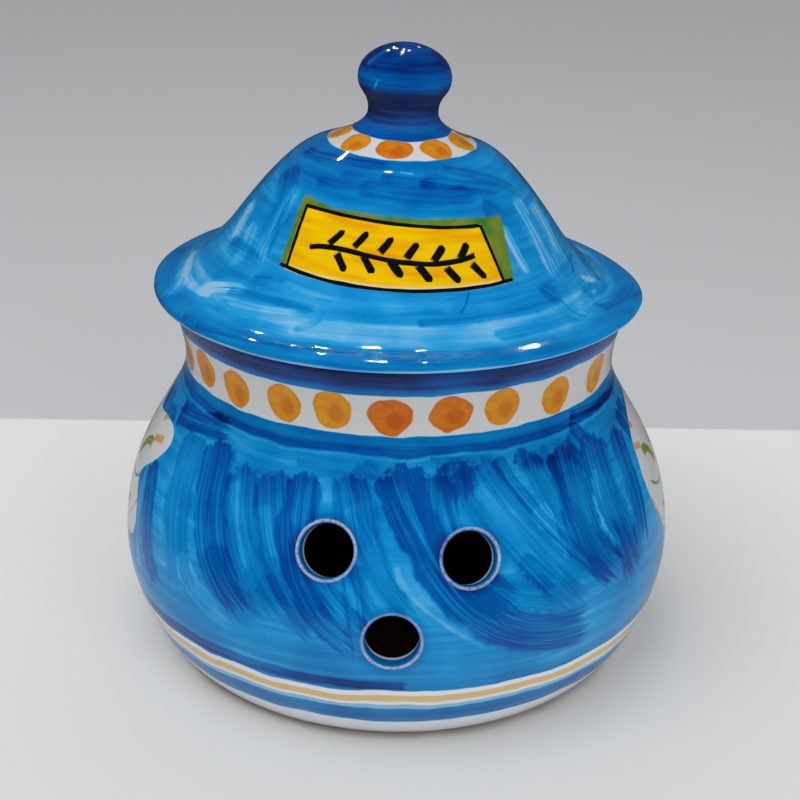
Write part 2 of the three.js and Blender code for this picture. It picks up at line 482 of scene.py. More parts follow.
def take_out(body, kept, axes):
    """Take the quads near a vent out of kept, and give back the edges that are left outside and inside."""
    centre, across, up, out = axes
    offset = body.points[body.quads[outer_rows[0] - 1 : outer_rows[-1] - 1]] - centre
    near = (np.hypot(offset @ across, offset @ up) < VENT_CLEAR) & (offset @ out > -JAR_WALL)
    lost = {}
    for row, side in zip(*np.nonzero(near.any(axis=2))):
        outer_quad, inner_quad = (outer_rows[row] - 1, side), (inner_rows[row] - 2, side)
        kept[outer_quad] = kept[inner_quad] = False
        for outer_point, inner_point in zip(body.quads[outer_quad], body.quads[inner_quad][::-1]):
            lost.setdefault(outer_point, [inner_point, 0])[1] += 1
    edges = np.array([(point, partner) for point, (partner, count) in lost.items() if count < 4])
    offset = body.points[edges[:, 0]] - centre
    return edges[np.argsort(np.arctan2(offset @ up, offset @ across))].T


def open_vents(body):
    """The turned body with its vents: all points, and all faces as lists of point numbers."""
    points, kept = body.points, np.ones(body.quads.shape[:2], bool)
    faces = []
    for vent in VENTS:
        axes = vent_axes(vent)
        edge, inner_edge = take_out(body, kept, axes)
        rings = vent_rings(axes, edge, inner_edge, body.points)
        numbers = len(points) + np.arange(len(rings) * len(edge)).reshape(len(rings), -1)
        points = np.concatenate([points, *rings])
        loops = [edge, *numbers, inner_edge]
        for ring, following in zip(loops, loops[1:]):
            faces += np.stack([ring, np.roll(ring, -1), np.roll(following, -1), following], 1).tolist()
        print(f"vent at {vent.turn} degrees: {len(edge)} sides, {len(rings)} rings")
    return points, body.quads[kept].tolist() + body.fans.tolist() + faces


jar_points, jar_faces = open_vents(jar_body)

# %% [markdown]
# A mesh object takes its points in metres. Points that no face uses would be stray, so they're left out,
# and smooth shading lets the fine quads pass for one poured surface.
# %% Jar
def make_piece(name, points, faces):
    """A smooth-shaded object from points in millimetres, without the points that no face uses."""
    used = np.zeros(len(points), bool)
    used[[v for f in faces for v in f]] = True
    number = np.cumsum(used) - 1
    mesh = bpy.data.meshes.new(name)
    mesh.from_pydata((points[used] * MM).tolist(), [], [[int(number[v]) for v in f] for f in faces])
    mesh.polygons.foreach_set("use_smooth", np.ones(len(mesh.polygons), bool))
    mesh.validate()
    piece = bpy.data.objects.new(name, mesh)
    bpy.context.scene.collection.objects.link(piece)
    triangles = sum(len(p.vertices) - 2 for p in mesh.polygons)
    print(name, len(mesh.vertices), "points,", triangles, "triangles")
    return piece


painted_jar = make_piece("painted_jar", jar_points, jar_faces)

# %% [markdown]
# The lid is thrown upside down as a bowl, turned over, and given its knob. Its profile runs from the middle
# of the hollow underside, round the flange that drops into the neck, out under the brim, over the lip and
# up the bell to the top of the knob. It is turned like the jar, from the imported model's stations.
# %% Lid
LID_SIDES = 300
LID_SEAT = 110.9
LID_WALL = 5.5
CROWN_RISE = 1.6
FLANGE_RADIUS = 57
FLANGE_WALL = 4
FLANGE_DEPTH = 9
FLANGE_FILLET = 0.5
LIP_ROUND = 1.2
LIP_RADIUS = 71
cone_foot = Station(47.4, 17.6, 125, 0.25, 0.22)
shoulder = Station(26, 40.6, 160, 0.25, 0.26)
LID_STATIONS = [
    Station(LIP_RADIUS, LIP_ROUND, 90, 0.25, 0.42),
    Station(60.5, 5, 145, 0.45, 0.25),
    cone_foot,
    shoulder,
    Station(9.9, 51, 90, 0.55, 0.46),
    Station(13.2, 60.6, 90, 0.35, 0.4),
    Station(0, 70, 180),
]

dome = inset(outline([cone_foot, shoulder]), LID_WALL)[::-1]
crown = span(Station(0, dome[0, 1] + CROWN_RISE, 0, 0.3, 0.3), Station(*dome[0], 340))
skirt = span(Station(*dome[-1], 310, 0.3, 0.4), Station(FLANGE_RADIUS - FLANGE_WALL, 0, 270))
flange_round = FLANGE_WALL / 2
lid_outer = outline(LID_STATIONS, 1.4)
lid_profile = np.concatenate([
    spaced(crown, 3)[:-1],
    dome[:-1],
    spaced(skirt, 2),
    arc(FLANGE_RADIUS - flange_round, flange_round - FLANGE_DEPTH, flange_round, 180, 360, 12),
    [[FLANGE_RADIUS, -0.8]],
    arc(FLANGE_RADIUS + FLANGE_FILLET, -FLANGE_FILLET, FLANGE_FILLET, 180, 90, 3),
    level_run(FLANGE_RADIUS + 2, LIP_RADIUS - LIP_ROUND - 1, 0, 3),
    arc(LIP_RADIUS - LIP_ROUND, LIP_ROUND, LIP_ROUND, 270, 360, 5)[:-1],
    lid_outer,
]) + [0, LID_SEAT]
lid_body = turn_profile(lid_profile, LID_SIDES)
lid_faces = lid_body.quads.reshape(-1, 4).tolist() + lid_body.fans.tolist()
painted_lid = make_piece("painted_lid", lid_body.points, lid_faces)

# %% [markdown]
# The paint could be an image wrapped round each piece, but an image blurs close up. Here it is drawn by the
# material from a few numbers kept on the mesh as attributes. For that, each piece's points are gathered
# once, with their turn round the axis in degrees from the front, and with the face that each face corner
# belongs to.
# %% Wares ready for paint
Ware = namedtuple("Ware", "mesh points turn radius line corner_point corner_face")


def read(items, field, width=1, kind=float):
    values = np.empty(len(items) * width, kind)
    items.foreach_get(field, values)
    return values


def ware_of(piece, line):
    mesh = piece.data
    points = read(mesh.vertices, "co", 3).reshape(-1, 3) / MM
    turn = np.degrees(np.arctan2(points[:, 0], -points[:, 1]))
    sizes = read(mesh.polygons, "loop_total", kind=np.int32)
    corner_point = read(mesh.loops, "vertex_index", kind=np.int32)
    corner_face = np.repeat(np.arange(len(sizes)), sizes)
    return Ware(mesh, points, turn, np.hypot(points[:, 0], points[:, 1]), line, corner_point, corner_face)


def keep(ware, name, values, domain="POINT"):
    """Numbers or vectors kept on the ware's mesh, for its material to read by that name."""
    kind, field = ("FLOAT_VECTOR", "vector") if values.ndim == 2 else ("FLOAT", "value")
    attribute = ware.mesh.attributes.new(name, kind, domain)
    attribute.data.foreach_set(field, np.ascontiguousarray(values, np.float32).ravel())


jar = ware_of(painted_jar, jar_outer)
lid = ware_of(painted_lid, lid_outer + [0, LID_SEAT])
print("face corners:", len(jar.corner_face), "on the jar and", len(lid.corner_face), "on the lid")

# %% [markdown]
# The painter's brush leaves marks, and each mark is kept as what it is: a line on the glaze, a width, and a
# load of cobalt. A load above nought lays pigment on, and one below nought drags it off again and shows the
# white glaze. The points of a mark are its turn in degrees from the front and its height in millimetres.
# %% Marks of the brush
Mark = namedtuple("Mark", "path width load")
MARK_STEPS = 48
SLOPE_REACH = 0.4
THROUGH_WALL = -2.5
NO_PLACE = (0.0, 9, 0)


def laid(mark, line):
    """A mark's path as a smooth line of points on a turned wall, and the wall's facing at each."""
    path = np.array(mark.path, float)
    t, fine = np.linspace(0, 1, len(path)), np.linspace(0, 1, MARK_STEPS)
    turn, height = (np.polyval(np.polyfit(t, column, len(path) - 1), fine) for column in path.T)
    turn = np.radians(turn)
    radius = wall_radius(line, height)
    slope = wall_radius(line, height + SLOPE_REACH) - wall_radius(line, height - SLOPE_REACH)
    out = np.stack([2 * SLOPE_REACH * np.sin(turn), -2 * SLOPE_REACH * np.cos(turn), -slope], 1)
    points = np.stack([radius * np.sin(turn), -radius * np.cos(turn), height], 1)
    return points, out / np.linalg.norm(out, axis=1)[:, None]


def place_in_mark(ware, mark):
    """For each point: millimetres along the mark, half widths across it, and millimetres left to its end."""
    centre, out = laid(mark, ware.line)
    run = run_along(centre)
    ahead = np.gradient(centre, axis=0)
    ahead /= np.linalg.norm(ahead, axis=1)[:, None]
    side = np.cross(out, ahead)
    reach = mark.width * 0.75 + 4
    close = ((ware.points > centre.min(0) - reach) & (ware.points < centre.max(0) + reach)).all(1)
    near = ((ware.points[close][:, None] - centre) ** 2).sum(2).argmin(1)
    offset = ware.points[close] - centre[near]
    along = run[near] + (offset * ahead[near]).sum(1)
    across = (offset * side[near]).sum(1) / (mark.width / 2)
    across[(offset * out[near]).sum(1) < THROUGH_WALL] = NO_PLACE[1]
    place = np.tile(np.array(NO_PLACE), (len(ware.points), 1))
    place[close] = np.stack([along, across, run[-1] - along], 1)
    return place


first_stroke = Mark([(-70, 63), (-64, 56), (-60, 43), (-54, 35)], 8.5, 0.32)
print("the first stroke is", round(run_along(laid(first_stroke, jar_outer)[0])[-1], 1), "mm long")

# %% [markdown]
# The jar has two coats. The first went on while it turned. The second is a row of broad, overlapping
# strokes that start in a rounded, loaded head under the neck and sweep down and to the right round the
# belly. Where the brush had run nearly dry it dragged cobalt off again. Chance can't place strokes as a
# hand does, so those of the front are a list, in the order that they were painted.
# %% Strokes on the front of the jar
jar_marks = [
    first_stroke,
    Mark([(-57, 79), (-53, 63), (-49, 50), (-45, 36)], 13.5, 0.14),
    Mark([(-47, 80), (-44, 68), (-39, 54), (-28, 39)], 13.5, 0.3),
    Mark([(-39, 57), (-34, 47), (-25, 39)], 11, 0.1),
    Mark([(-27, 52), (-22, 46), (-14, 39)], 9, 0.08),
    Mark([(-38, 77), (-34, 64), (-29, 54), (-21, 42)], 13.5, 0.18),
    Mark([(-30, 77.5), (-26, 66), (-21, 54), (-12, 39)], 14, 0.2),
    Mark([(-21, 79), (-20, 66), (-16, 52), (-5, 37)], 13.5, 0.29),
    Mark([(-12, 80), (-9, 70), (-5, 57), (4, 42)], 13, 0.18),
    Mark([(-9, 60), (-7, 46), (-6, 33)], 8, 0.16),
    Mark([(-1, 83), (5, 67), (11, 54), (21, 41), (42, 34.5)], 14, 0.38),
    Mark([(9, 81), (10, 66), (16, 54), (24, 43)], 13, 0.28),
    Mark([(16, 83.5), (22, 71), (30, 57), (41, 40)], 16.5, 0.14),
    Mark([(17, 53), (25, 49.5), (34, 46)], 10, 0.17),
    Mark([(24, 83), (31, 68), (40, 54), (48, 44)], 4.5, 0.24),
    Mark([(33, 83), (36, 73), (40, 60), (48, 45)], 12, 0.12),
    Mark([(43, 82.5), (42, 71), (43, 58), (51, 43)], 13, 0.31),
    Mark([(55, 81), (52, 66), (54, 50), (58, 39)], 13.5, 0.26),
    Mark([(66, 78), (62, 63), (60, 46)], 10, 0.31),
    Mark([(13, 84.5), (14, 72)], 12, 0.24),
    Mark([(32, 84), (32, 76)], 12, 0.24),
    Mark([(46, 85), (51, 76)], 13.5, 0.3),
    Mark([(-11, 81), (-3, 77)], 11.5, 0.12),
    Mark([(-48, 50), (-42, 42), (-31, 36)], 8, -0.1),
    Mark([(-38, 73), (-33, 62), (-29, 52)], 4.5, -0.12),
    Mark([(-29, 70), (-26, 61), (-22, 51)], 4, -0.11),
    Mark([(-17, 79), (-14, 72)], 5, -0.1),
    Mark([(-10, 73), (-5, 64), (-1, 55)], 5, -0.1),
    Mark([(1, 60), (5, 51), (18, 36.5)], 5, -0.1),
    Mark([(18, 77), (25, 64), (34, 47)], 8, -0.11),
    Mark([(31, 70), (35, 61), (42, 48)], 7, -0.16),
    Mark([(51, 75), (48, 62), (52, 52)], 3.5, -0.14),
    Mark([(25, 59), (32, 47)], 8, 0.14),
    Mark([(48, 60), (52, 47), (58, 37)], 12, 0.08),
    Mark([(-100, 25.2), (-60, 25), (-28, 25), (3, 24.8)], 4, 0.36),
    Mark([(-45, 83), (-35, 80.6), (-23, 81)], 3, -0.1),
    Mark([(-70, 79), (-60, 80.5), (-44, 83.5)], 8, 0.34),
    Mark([(2, 82.6), (12, 82.4), (24, 82)], 5, 0.12),
    Mark([(48, 87.5), (62, 86), (78, 84)], 3.5, 0.26),
]
print("strokes on the front:", len(jar_marks))

# %% [markdown]
# Round the back the same hand goes on, with strokes that nobody will compare with each other. There a
# generator with a fixed seed does the painting, so they come out the same each time.
# %% Strokes round the back of the jar
BACK_TURNS = np.arange(74, 288, 7)
DRY_CHANCE = 0.6

hand = np.random.default_rng(7)
for turn in BACK_TURNS:
    start = turn + hand.uniform(-2, 2)
    drift = hand.uniform(4, 16)
    top, bottom = hand.uniform(77, 83), hand.uniform(33, 41)
    path = [(start, top), (start + drift * 0.3, top * 0.6 + bottom * 0.4), (start + drift, bottom)]
    jar_marks.append(Mark(path, hand.uniform(11, 15), hand.uniform(0.14, 0.36)))
    if hand.random() < DRY_CHANCE:
        dry = [(t + 2, h - 4) for t, h in path]
        jar_marks.append(Mark(dry, hand.uniform(2.5, 7), hand.uniform(-0.2, -0.12)))
print("strokes all round:", len(jar_marks))

# %% [markdown]
# Marks cross each other, and a face can hold its place in one mark only, so the marks are dealt out over a
# few layers, each to the layer where least lies under it yet. A layer stores two vectors for each face
# corner: the place in the mark, and the mark's seed, load and half width. Corners aren't shared between
# faces, so nothing is blended from one mark to the next.
# %% Marks to layers
STROKE_LAYERS = 4
NO_STYLE = (0.0, 0, 1)
SEED_STEP = 0.37
BESIDE_MARK = 1.25
PAST_END = -2


def lay_marks(ware, marks, layers, name):
    place = np.tile(np.array(NO_PLACE), (layers, len(ware.corner_point), 1))
    style = np.tile(np.array(NO_STYLE), (layers, len(ware.corner_point), 1))
    taken = np.zeros((layers, len(ware.mesh.polygons)), bool)
    hidden = 0
    for number, mark in enumerate(marks):
        here = place_in_mark(ware, mark)
        touched = (abs(here[:, 1]) < BESIDE_MARK + 1 / mark.width) & (here[:, [0, 2]] > PAST_END).all(1)
        under = np.zeros(taken.shape[1], bool)
        under[ware.corner_face[touched[ware.corner_point]]] = True
        layer = (taken & under).sum(1).argmin()
        mine = under & ~taken[layer]
        hidden += under.sum() - mine.sum()
        taken[layer] |= mine
        corners = mine[ware.corner_face]
        place[layer, corners] = here[ware.corner_point[corners]]
        style[layer, corners] = (number * SEED_STEP % 1, mark.load, mark.width / 2)
    for layer in range(layers):
        keep(ware, f"{name}_place_{layer}", place[layer], "CORNER")
        keep(ware, f"{name}_style_{layer}", style[layer], "CORNER")
    print(f"{len(marks)} {name} marks on {layers} layers, {hidden} faces hidden by another mark")


lay_marks(jar, jar_marks, STROKE_LAYERS, "stroke")

# %% [markdown]
# The white neck band has a daub of orange for each brushful. A daub has no path, only a centre, so a face
# corner keeps how far it is to the right of the nearest centre and above it, and one value of the daub's
# own: how warm its orange is. The front ones stand where the painter set them, and the others are spaced
# evenly.
# %% Daubs on the jar
DAUBS = 25
front_daubs = [
    (-71.4, 0.3), (-57.8, 0.5), (-44.2, 0.35), (-28.9, 0.3), (-16.1, 0.25), (-1.8, 1), (12.7, 0.85),
    (25.6, 0.3), (42.2, 0.3), (60, 0.2), (78.6, 0.4),
]


def daub_places(ware, daubs, name):
    turns, heights, values = np.array(daubs, float).T
    first = np.unique(ware.corner_face, return_index=True)[1]
    corner_turn = ware.turn[ware.corner_point]
    gap = (corner_turn[first][:, None] - turns + 180) % 360 - 180
    chosen = abs(gap).argmin(1)[ware.corner_face]
    gap = (corner_turn - turns[chosen] + 180) % 360 - 180
    run = run_along(ware.line)
    rise = np.interp(ware.points[ware.corner_point, 2], ware.line[:, 1], run)
    rise -= np.interp(heights, ware.line[:, 1], run)[chosen]
    right = np.radians(gap) * ware.radius[ware.corner_point]
    keep(ware, name, np.stack([right, rise, values[chosen]], 1), "CORNER")


back_turns = np.linspace(front_daubs[-1][0], front_daubs[0][0] + 360, DAUBS - len(front_daubs) + 2)[1:-1]
jar_daubs = [(turn, 96.3 + 0.6 * math.sin(2.1 * i), warmth) for i, (turn, warmth) in enumerate(front_daubs)]
jar_daubs += [(turn, 96.4 + hand.uniform(-0.6, 0.6), hand.uniform(0, 0.5)) for turn in back_turns]
daub_places(jar, jar_daubs, "daub")
print("daubs on the neck:", len(jar_daubs))

# %% [markdown]
# On each side the painter left a white reserve in the blue and filled it. Here each one holds a plain spray
# of six petals and some leaves, which is laid with the same brush. Its marks use the load as the number of
# their paint: 1 is ochre, 2 is teal and 3 is leaf green.
# %% Reserves and their sprays
RESERVE_TURN = 92
RESERVE_HEIGHT = 58
RESERVE_HALF = (34, 25)
PETALS = 6
PETAL_REACH = (3.4, 9.5)
SPRAY_LAYERS = 2
SPRIGS = [
    ([(3, -8.5), (11, -13), (20, -9)], 3, 3),
    ([(12, 1), (17, 7), (24, 8)], 3.4, 3),
    ([(12, -3), (19, -3), (27, 1)], 1.2, 2),
    ([(20, 15), (29, 20)], 2.6, 1),
    ([(22, 10), (31, 12.5)], 2.6, 1),
    ([(22, -14), (27, -9), (31, -2)], 0.9, 1),
    ([(27, -19), (32, -13), (34, -6)], 0.9, 1),
]


def on_reserve(side, path):
    """The path on the jar of points given in millimetres right of and above the middle of a reserve."""
    radius = wall_radius(jar_outer, RESERVE_HEIGHT)
    return [(side * RESERVE_TURN + math.degrees(x / radius), RESERVE_HEIGHT + y) for x, y in path]


daub_places(jar, [(side * RESERVE_TURN, RESERVE_HEIGHT, side) for side in (-1, 1)], "reserve")
spray = []
for side in (-1, 1):
    for petal in range(PETALS):
        angle = math.radians(90 + 360 / PETALS * petal)
        x, y = math.cos(angle), math.sin(angle)
        spray.append(Mark(on_reserve(side, [(reach * x, 3 + reach * y) for reach in PETAL_REACH]), 5.2, 1))
    spray.append(Mark(on_reserve(side, [(-0.9, 3), (0.9, 3)]), 3.6, 2))
    for mirror in (-1, 1):
        for path, width, paint in SPRIGS:
            spray.append(Mark(on_reserve(side, [(mirror * x, y) for x, y in path]), width, paint))
lay_marks(jar, spray, SPRAY_LAYERS, "spray")

# %% [markdown]
# Cobalt pools and chips round the vents, and the glaze ends inside the jar, where bare clay shows. So a
# point near a vent keeps how far it is from the vent's axis and how deep in the wall, and every point keeps
# whether it is inside.
# %% Vents and the inside of the jar
FAR_FROM_VENTS = 50.0
VENT_REACH = 14
BORE_SPAN = (-12, 4)
RUN_OVER_RIM = 3.4
RUN_INTO_VENT = 4.6

height = jar.points[:, 2]
depth = wall_radius(jar_outer, height) - jar.radius
bore = np.tile([FAR_FROM_VENTS, 0, 0], (len(height), 1))
for vent in VENTS:
    centre, across, up, out = vent_axes(vent)
    offset = jar.points - centre
    away = np.hypot(offset @ across, offset @ up)
    near = (away < VENT_REACH) & (away < bore[:, 0])
    near &= (offset @ out > BORE_SPAN[0]) & (offset @ out < BORE_SPAN[1])
    bore[near, 0] = away[near]
    bore[near, 1] = depth[near]
glazed_depth = np.where(bore[:, 0] < VENT_RADIUS + 0.6, RUN_INTO_VENT, RUN_OVER_RIM)
inside = (depth > glazed_depth) & (height > JAR_FLOOR - 0.1) & (height < land + 0.7)
inside |= (jar.radius < foot_inner - 1) & (height > FOOT_RECESS + 1) & (height < JAR_FLOOR + 0.2)
keep(jar, "bore", bore)
keep(jar, "inside", inside.astype(float))
print("points near a vent:", int((bore[:, 0] < VENT_REACH).sum()), "and inside:", int(inside.sum()))

# %% [markdown]
# The lid has the same brush on its bell and brim: dark drags under the knob, pale ones where the bell turns
# outwards, and long ones that follow the brim round. They are a list again, and the last two are the pale
# streaks on the knob.
# %% Strokes on the front of the lid
lid_marks = [
    Mark([(-54, 145), (-52, 138), (-51, 131), (-48, 124)], 7, -0.2),
    Mark([(-73, 147), (-57, 141), (-51, 133), (-48, 126.5)], 9.5, 0.21),
    Mark([(-78, 137), (-73, 130), (-70, 124)], 9, -0.26),
    Mark([(-65, 134), (-61, 127), (-59, 121)], 8, -0.2),
    Mark([(-73, 126.2), (-58, 127), (-47, 126.4)], 5, 0.22),
    Mark([(-48, 122.6), (-43, 123.4), (-38.6, 124.2)], 5, 0.14),
    Mark([(-88, 146), (-89, 137), (-92, 129)], 12, 0.1),
    Mark([(-92, 117.5), (-83, 116), (-66, 113.6)], 6, -0.2),
    Mark([(-64, 115.6), (-54, 118.6), (-44, 120)], 8, -0.28),
    Mark([(-50, 116.6), (-36, 117.4), (-24, 118.8)], 6.5, -0.12),
    Mark([(-56, 113.4), (-41, 113.6)], 4, 0.16),
    Mark([(-53, 118.4), (-37, 120), (-21, 119.8)], 4, 0.16),
    Mark([(-26, 115.8), (-21, 117.8), (-20.6, 120.6)], 3, 0.12),
    Mark([(-50, 113.2), (-31, 113.9), (-8, 114.2)], 2, 0.16),
    Mark([(-28, 116), (-8, 116.8), (8, 116.9), (28, 116.6)], 5.5, -0.07),
    Mark([(-78, 150.8), (-50, 151.7), (-27, 152.1), (-2, 152.1)], 6, 0.26),
    Mark([(-34, 149.8), (-16, 149.6), (1, 150)], 6, 0.08),
    Mark([(-12, 149.9), (4, 149.8), (22, 149.4)], 4.5, 0.14),
    Mark([(-45, 147.5), (-34, 147), (-24, 147.4)], 7, 0.14),
    Mark([(-22, 147.8), (0, 147.2), (19, 146.6), (43, 146)], 8, 0.2),
    Mark([(9, 150), (32, 148.4), (57, 145.4)], 7, 0.19),
    Mark([(25, 152), (48, 149.6), (69, 144.2)], 5, 0.16),
    Mark([(38, 144.6), (45, 141.6), (51, 137.6)], 8.5, 0.13),
    Mark([(-1, 151.4), (8, 151)], 1.4, -0.3),
    Mark([(96, 149), (93, 143), (91, 134)], 9.5, 0.14),
    Mark([(62, 144), (62, 134), (60, 122)], 10, -0.24),
    Mark([(76, 141), (73, 131), (69, 122)], 12, -0.2),
    Mark([(46, 139), (46, 133), (48, 125.5)], 4, -0.22),
    Mark([(66, 139), (65, 133), (64, 127)], 2.5, 0.16),
    Mark([(81, 133), (77, 129), (76, 125), (71, 122)], 1.2, 0.4),
    Mark([(92, 131), (84, 123), (72, 117.6)], 9, -0.18),
    Mark([(49, 124), (52, 121.4), (56, 118.8)], 8, 0.17),
    Mark([(54.6, 119.6), (54.8, 117), (57.5, 114.8)], 1.3, 0.3),
    Mark([(73, 120.4), (83, 116.2)], 4.5, -0.17),
    Mark([(64, 115), (79, 114), (89, 113.4)], 7, 0.2),
    Mark([(84, 118), (94, 117), (104, 115)], 7, 0.1),
    Mark([(66, 118), (78, 116.6), (88, 115.6)], 6, 0.16),
    Mark([(6, 119.4), (24, 119.7), (37, 119.7), (56, 119.4)], 3, 0.16),
    Mark([(23, 125.4), (21.4, 123), (18.6, 120.8)], 1, 0.2),
    Mark([(26, 116), (48, 115.9), (72, 114.2)], 4.5, 0.11),
    Mark([(-36, 124.8), (-16, 123.2), (2, 123.2), (20, 123.4)], 6.5, -0.09),
    Mark([(-62, 175), (-56, 177.6), (-48, 180)], 3, -0.26),
    Mark([(-40, 169.6), (-33, 173)], 1, -0.4),
]
print("strokes on the front of the lid:", len(lid_marks))

# %% [markdown]
# The back of the bell gets steep strokes and the back of the brim long level ones, from the same generator.
# The ring of daubs round the top of the bell is spaced one by one, as the painter did.
# %% Back of the lid, and its daubs
BELL_TURNS = np.arange(92, 262, 11.5)
BRIM_TURNS = np.arange(70, 290, 34)
RING_HEIGHT = 154.9

for turn in BELL_TURNS:
    start = turn + hand.uniform(-4, 4)
    top, bottom = hand.uniform(143, 150), hand.uniform(119, 126)
    load = hand.choice([0.16, 0.26, 0.4, -0.2])
    path = [(start, top), (start + 3, top * 0.5 + bottom * 0.5), (start + hand.uniform(2, 10), bottom)]
    lid_marks.append(Mark(path, hand.uniform(4.5, 8.5), load))
for turn in BRIM_TURNS:
    path = [(turn, 117), (turn + 15, 116.4 + hand.uniform(-1, 1)), (turn + 30, 116.8)]
    lid_marks.append(Mark(path, hand.uniform(3, 6), hand.choice([0.2, -0.15, 0.3])))
lay_marks(lid, lid_marks, STROKE_LAYERS, "stroke")
ring_daubs = [
    (-91, 0.2), (-48.6, 0.35), (-7.8, 0.8), (34.2, 0.5), (73.8, 0.3), (113, 0.6), (151, 0.2), (190, 0.4),
    (229, 0.3),
]
daub_places(lid, [(turn, RING_HEIGHT, warmth) for turn, warmth in ring_daubs], "daub")

# %% [markdown]
# On the front of the bell is a yellow label, painted freehand, so its edges are neither straight nor level.
# The lid keeps the distance to each of the four edges in millimetres, and the yellow field, its green
# fringe and its worn lower edge can all be drawn from them.
# %% Label on the lid
LABEL_STEEPNESS = 0.8
LABEL_HALF_TURN = 70
LABEL_ZONE = (118, 152)
OFF_LABEL = -20


def label_edges(turn):
    """The heights of the label's lower and upper edge at a turn in degrees."""
    return 126 - 0.012 * turn + 0.00045 * turn**2, 140.4 - 0.026 * turn


height = lid.points[:, 2]
low, high = label_edges(lid.turn)
left_turn = -37.6 + 0.27 * (127.6 - height)
right_turn = 36.4 + 0.17 * (127.1 - height)
on_front = (abs(lid.turn) < LABEL_HALF_TURN) & (height > LABEL_ZONE[0]) & (height < LABEL_ZONE[1])
edges = np.stack([
    np.radians(lid.turn - left_turn) * lid.radius,
    np.radians(right_turn - lid.turn) * lid.radius,
    (height - low) / LABEL_STEEPNESS,
], 1)
edges[~on_front] = OFF_LABEL
keep(lid, "label_sides", edges)
keep(lid, "label_top", np.where(on_front, (high - height) / LABEL_STEEPNESS, OFF_LABEL))
print("points on the label:", int(((edges > 0).all(1) & (height < high)).sum()))

# %% [markdown]
# A fine brush with black finishes the label: four lines round it, which cross at the corners as freehand
# lines do, and a leafy sprig with six pairs of leaves. They are marks like the others, and their heights
# are given as a share of the way from the label's lower edge to its upper one.
# %% Black lines on the label
LINE = 1.2
STEM = 1.7
LEAF = 2.5
LEAF_PAIRS = 6
INK_LAYERS = 3
ink_lines = [
    ([(-42, 1), (-15, 1.02), (10, 1), (34.6, 1)], LINE),
    ([(-40.5, 0.03), (-15, 0), (14, 0), (40.5, 0.01)], LINE),
    ([(-41.4, 1.03), (-39, 0.5), (-37.4, -0.01)], LINE),
    ([(34.2, 1.02), (35.4, 0.5), (36.6, 0)], LINE),
    ([(-32, 0.42), (-14, 0.5), (6, 0.42), (29, 0.54)], STEM),
]
for step in range(LEAF_PAIRS):
    turn = -26 + 9.4 * step
    share = 0.46 + 0.06 * math.sin((turn + 30) / 9)
    ink_lines.append(([(turn + 5.4, share + 0.32), (turn + 0.8, share + 0.04)], LEAF))
    ink_lines.append(([(turn + 9.4, share - 0.3), (turn + 4.8, share - 0.02)], LEAF))


def on_label(turn, share):
    low, high = label_edges(turn)
    return turn, low + (high - low) * share


ink = [Mark([on_label(*place) for place in path], width, 4) for path, width in ink_lines]
lay_marks(lid, ink, INK_LAYERS, "ink")

# %% [markdown]
# The lid's own height, as it was thrown, goes on the mesh too, because the next step bends the lid. The
# flat underside and the hollow are bare clay.
# %% Height and inside of the lid
GLAZE_DEPTH = 3.5
HOLLOW_TOP = 150

above_seat = height - LID_SEAT
inside = wall_radius(lid_outer, np.clip(above_seat, 0.1, 69.9)) - lid.radius > GLAZE_DEPTH
inside = (inside | (above_seat < 0.05)) & (height < HOLLOW_TOP)
keep(lid, "thrown_height", height)
keep(lid, "inside", inside.astype(float))
print("points inside the lid:", int(inside.sum()))

# %% [markdown]
# A lid thrown by hand never sits dead true. The bell and knob of this one stand a little to the left over a
# flat seat and lean about two degrees to the right, and its brim is narrower at the back, most of all on
# the right. Every painted place above was worked out on the straight lid, so the paint moves with it.
# %% Lean of the bell
LEAN = math.radians(2.1)
LEAN_BRIM_SHARE = 0.75
LEAN_SHIFT = -1.7
BRIM_RISE = 5
SHOULDER_RISE = 40
NARROW_HALF_TURN = 50
NARROW_PLACES = [(125, 4), (-130, 1.3)]

share = np.clip(above_seat / BRIM_RISE, 0, 1)
lean = LEAN * share * (LEAN_BRIM_SHARE + (1 - LEAN_BRIM_SHARE) * np.clip(above_seat / SHOULDER_RISE, 0, 1))
to_side, down = LEAN_SHIFT * share + lean * above_seat, -lean * lid.points[:, 0]
leaned = lid.points + np.stack([to_side, 0 * lean, down], 1)
brim_start = FLANGE_RADIUS + FLANGE_FILLET
on_brim = np.clip((lid.radius - brim_start) / (LIP_RADIUS - brim_start), 0, 1)
for middle, pull in NARROW_PLACES:
    away = np.clip((lid.turn - middle) / NARROW_HALF_TURN, -1, 1)
    pulled = pull * on_brim * (0.5 + 0.5 * np.cos(math.pi * away)) / np.maximum(lid.radius, 1)
    leaned[:, :2] -= lid.points[:, :2] * pulled[:, None]
lid.mesh.vertices.foreach_set("co", (leaned * MM).ravel())
lid.mesh.update()
print("the knob's top moved", round(float(abs(leaned - lid.points)[:, 0].max()), 1), "mm to the side")

# %% [markdown]
# Now the materials. Every mark is drawn by one node group, so that the brush is described once. It is told
# the place in a mark and the mark's style, and gives the cobalt that the mark adds or takes away, and how
# fully it covers the glaze. Everything in it is worked out in millimetres along the mark and across it.
# %% Brush group
SEED_SHIFT = 40

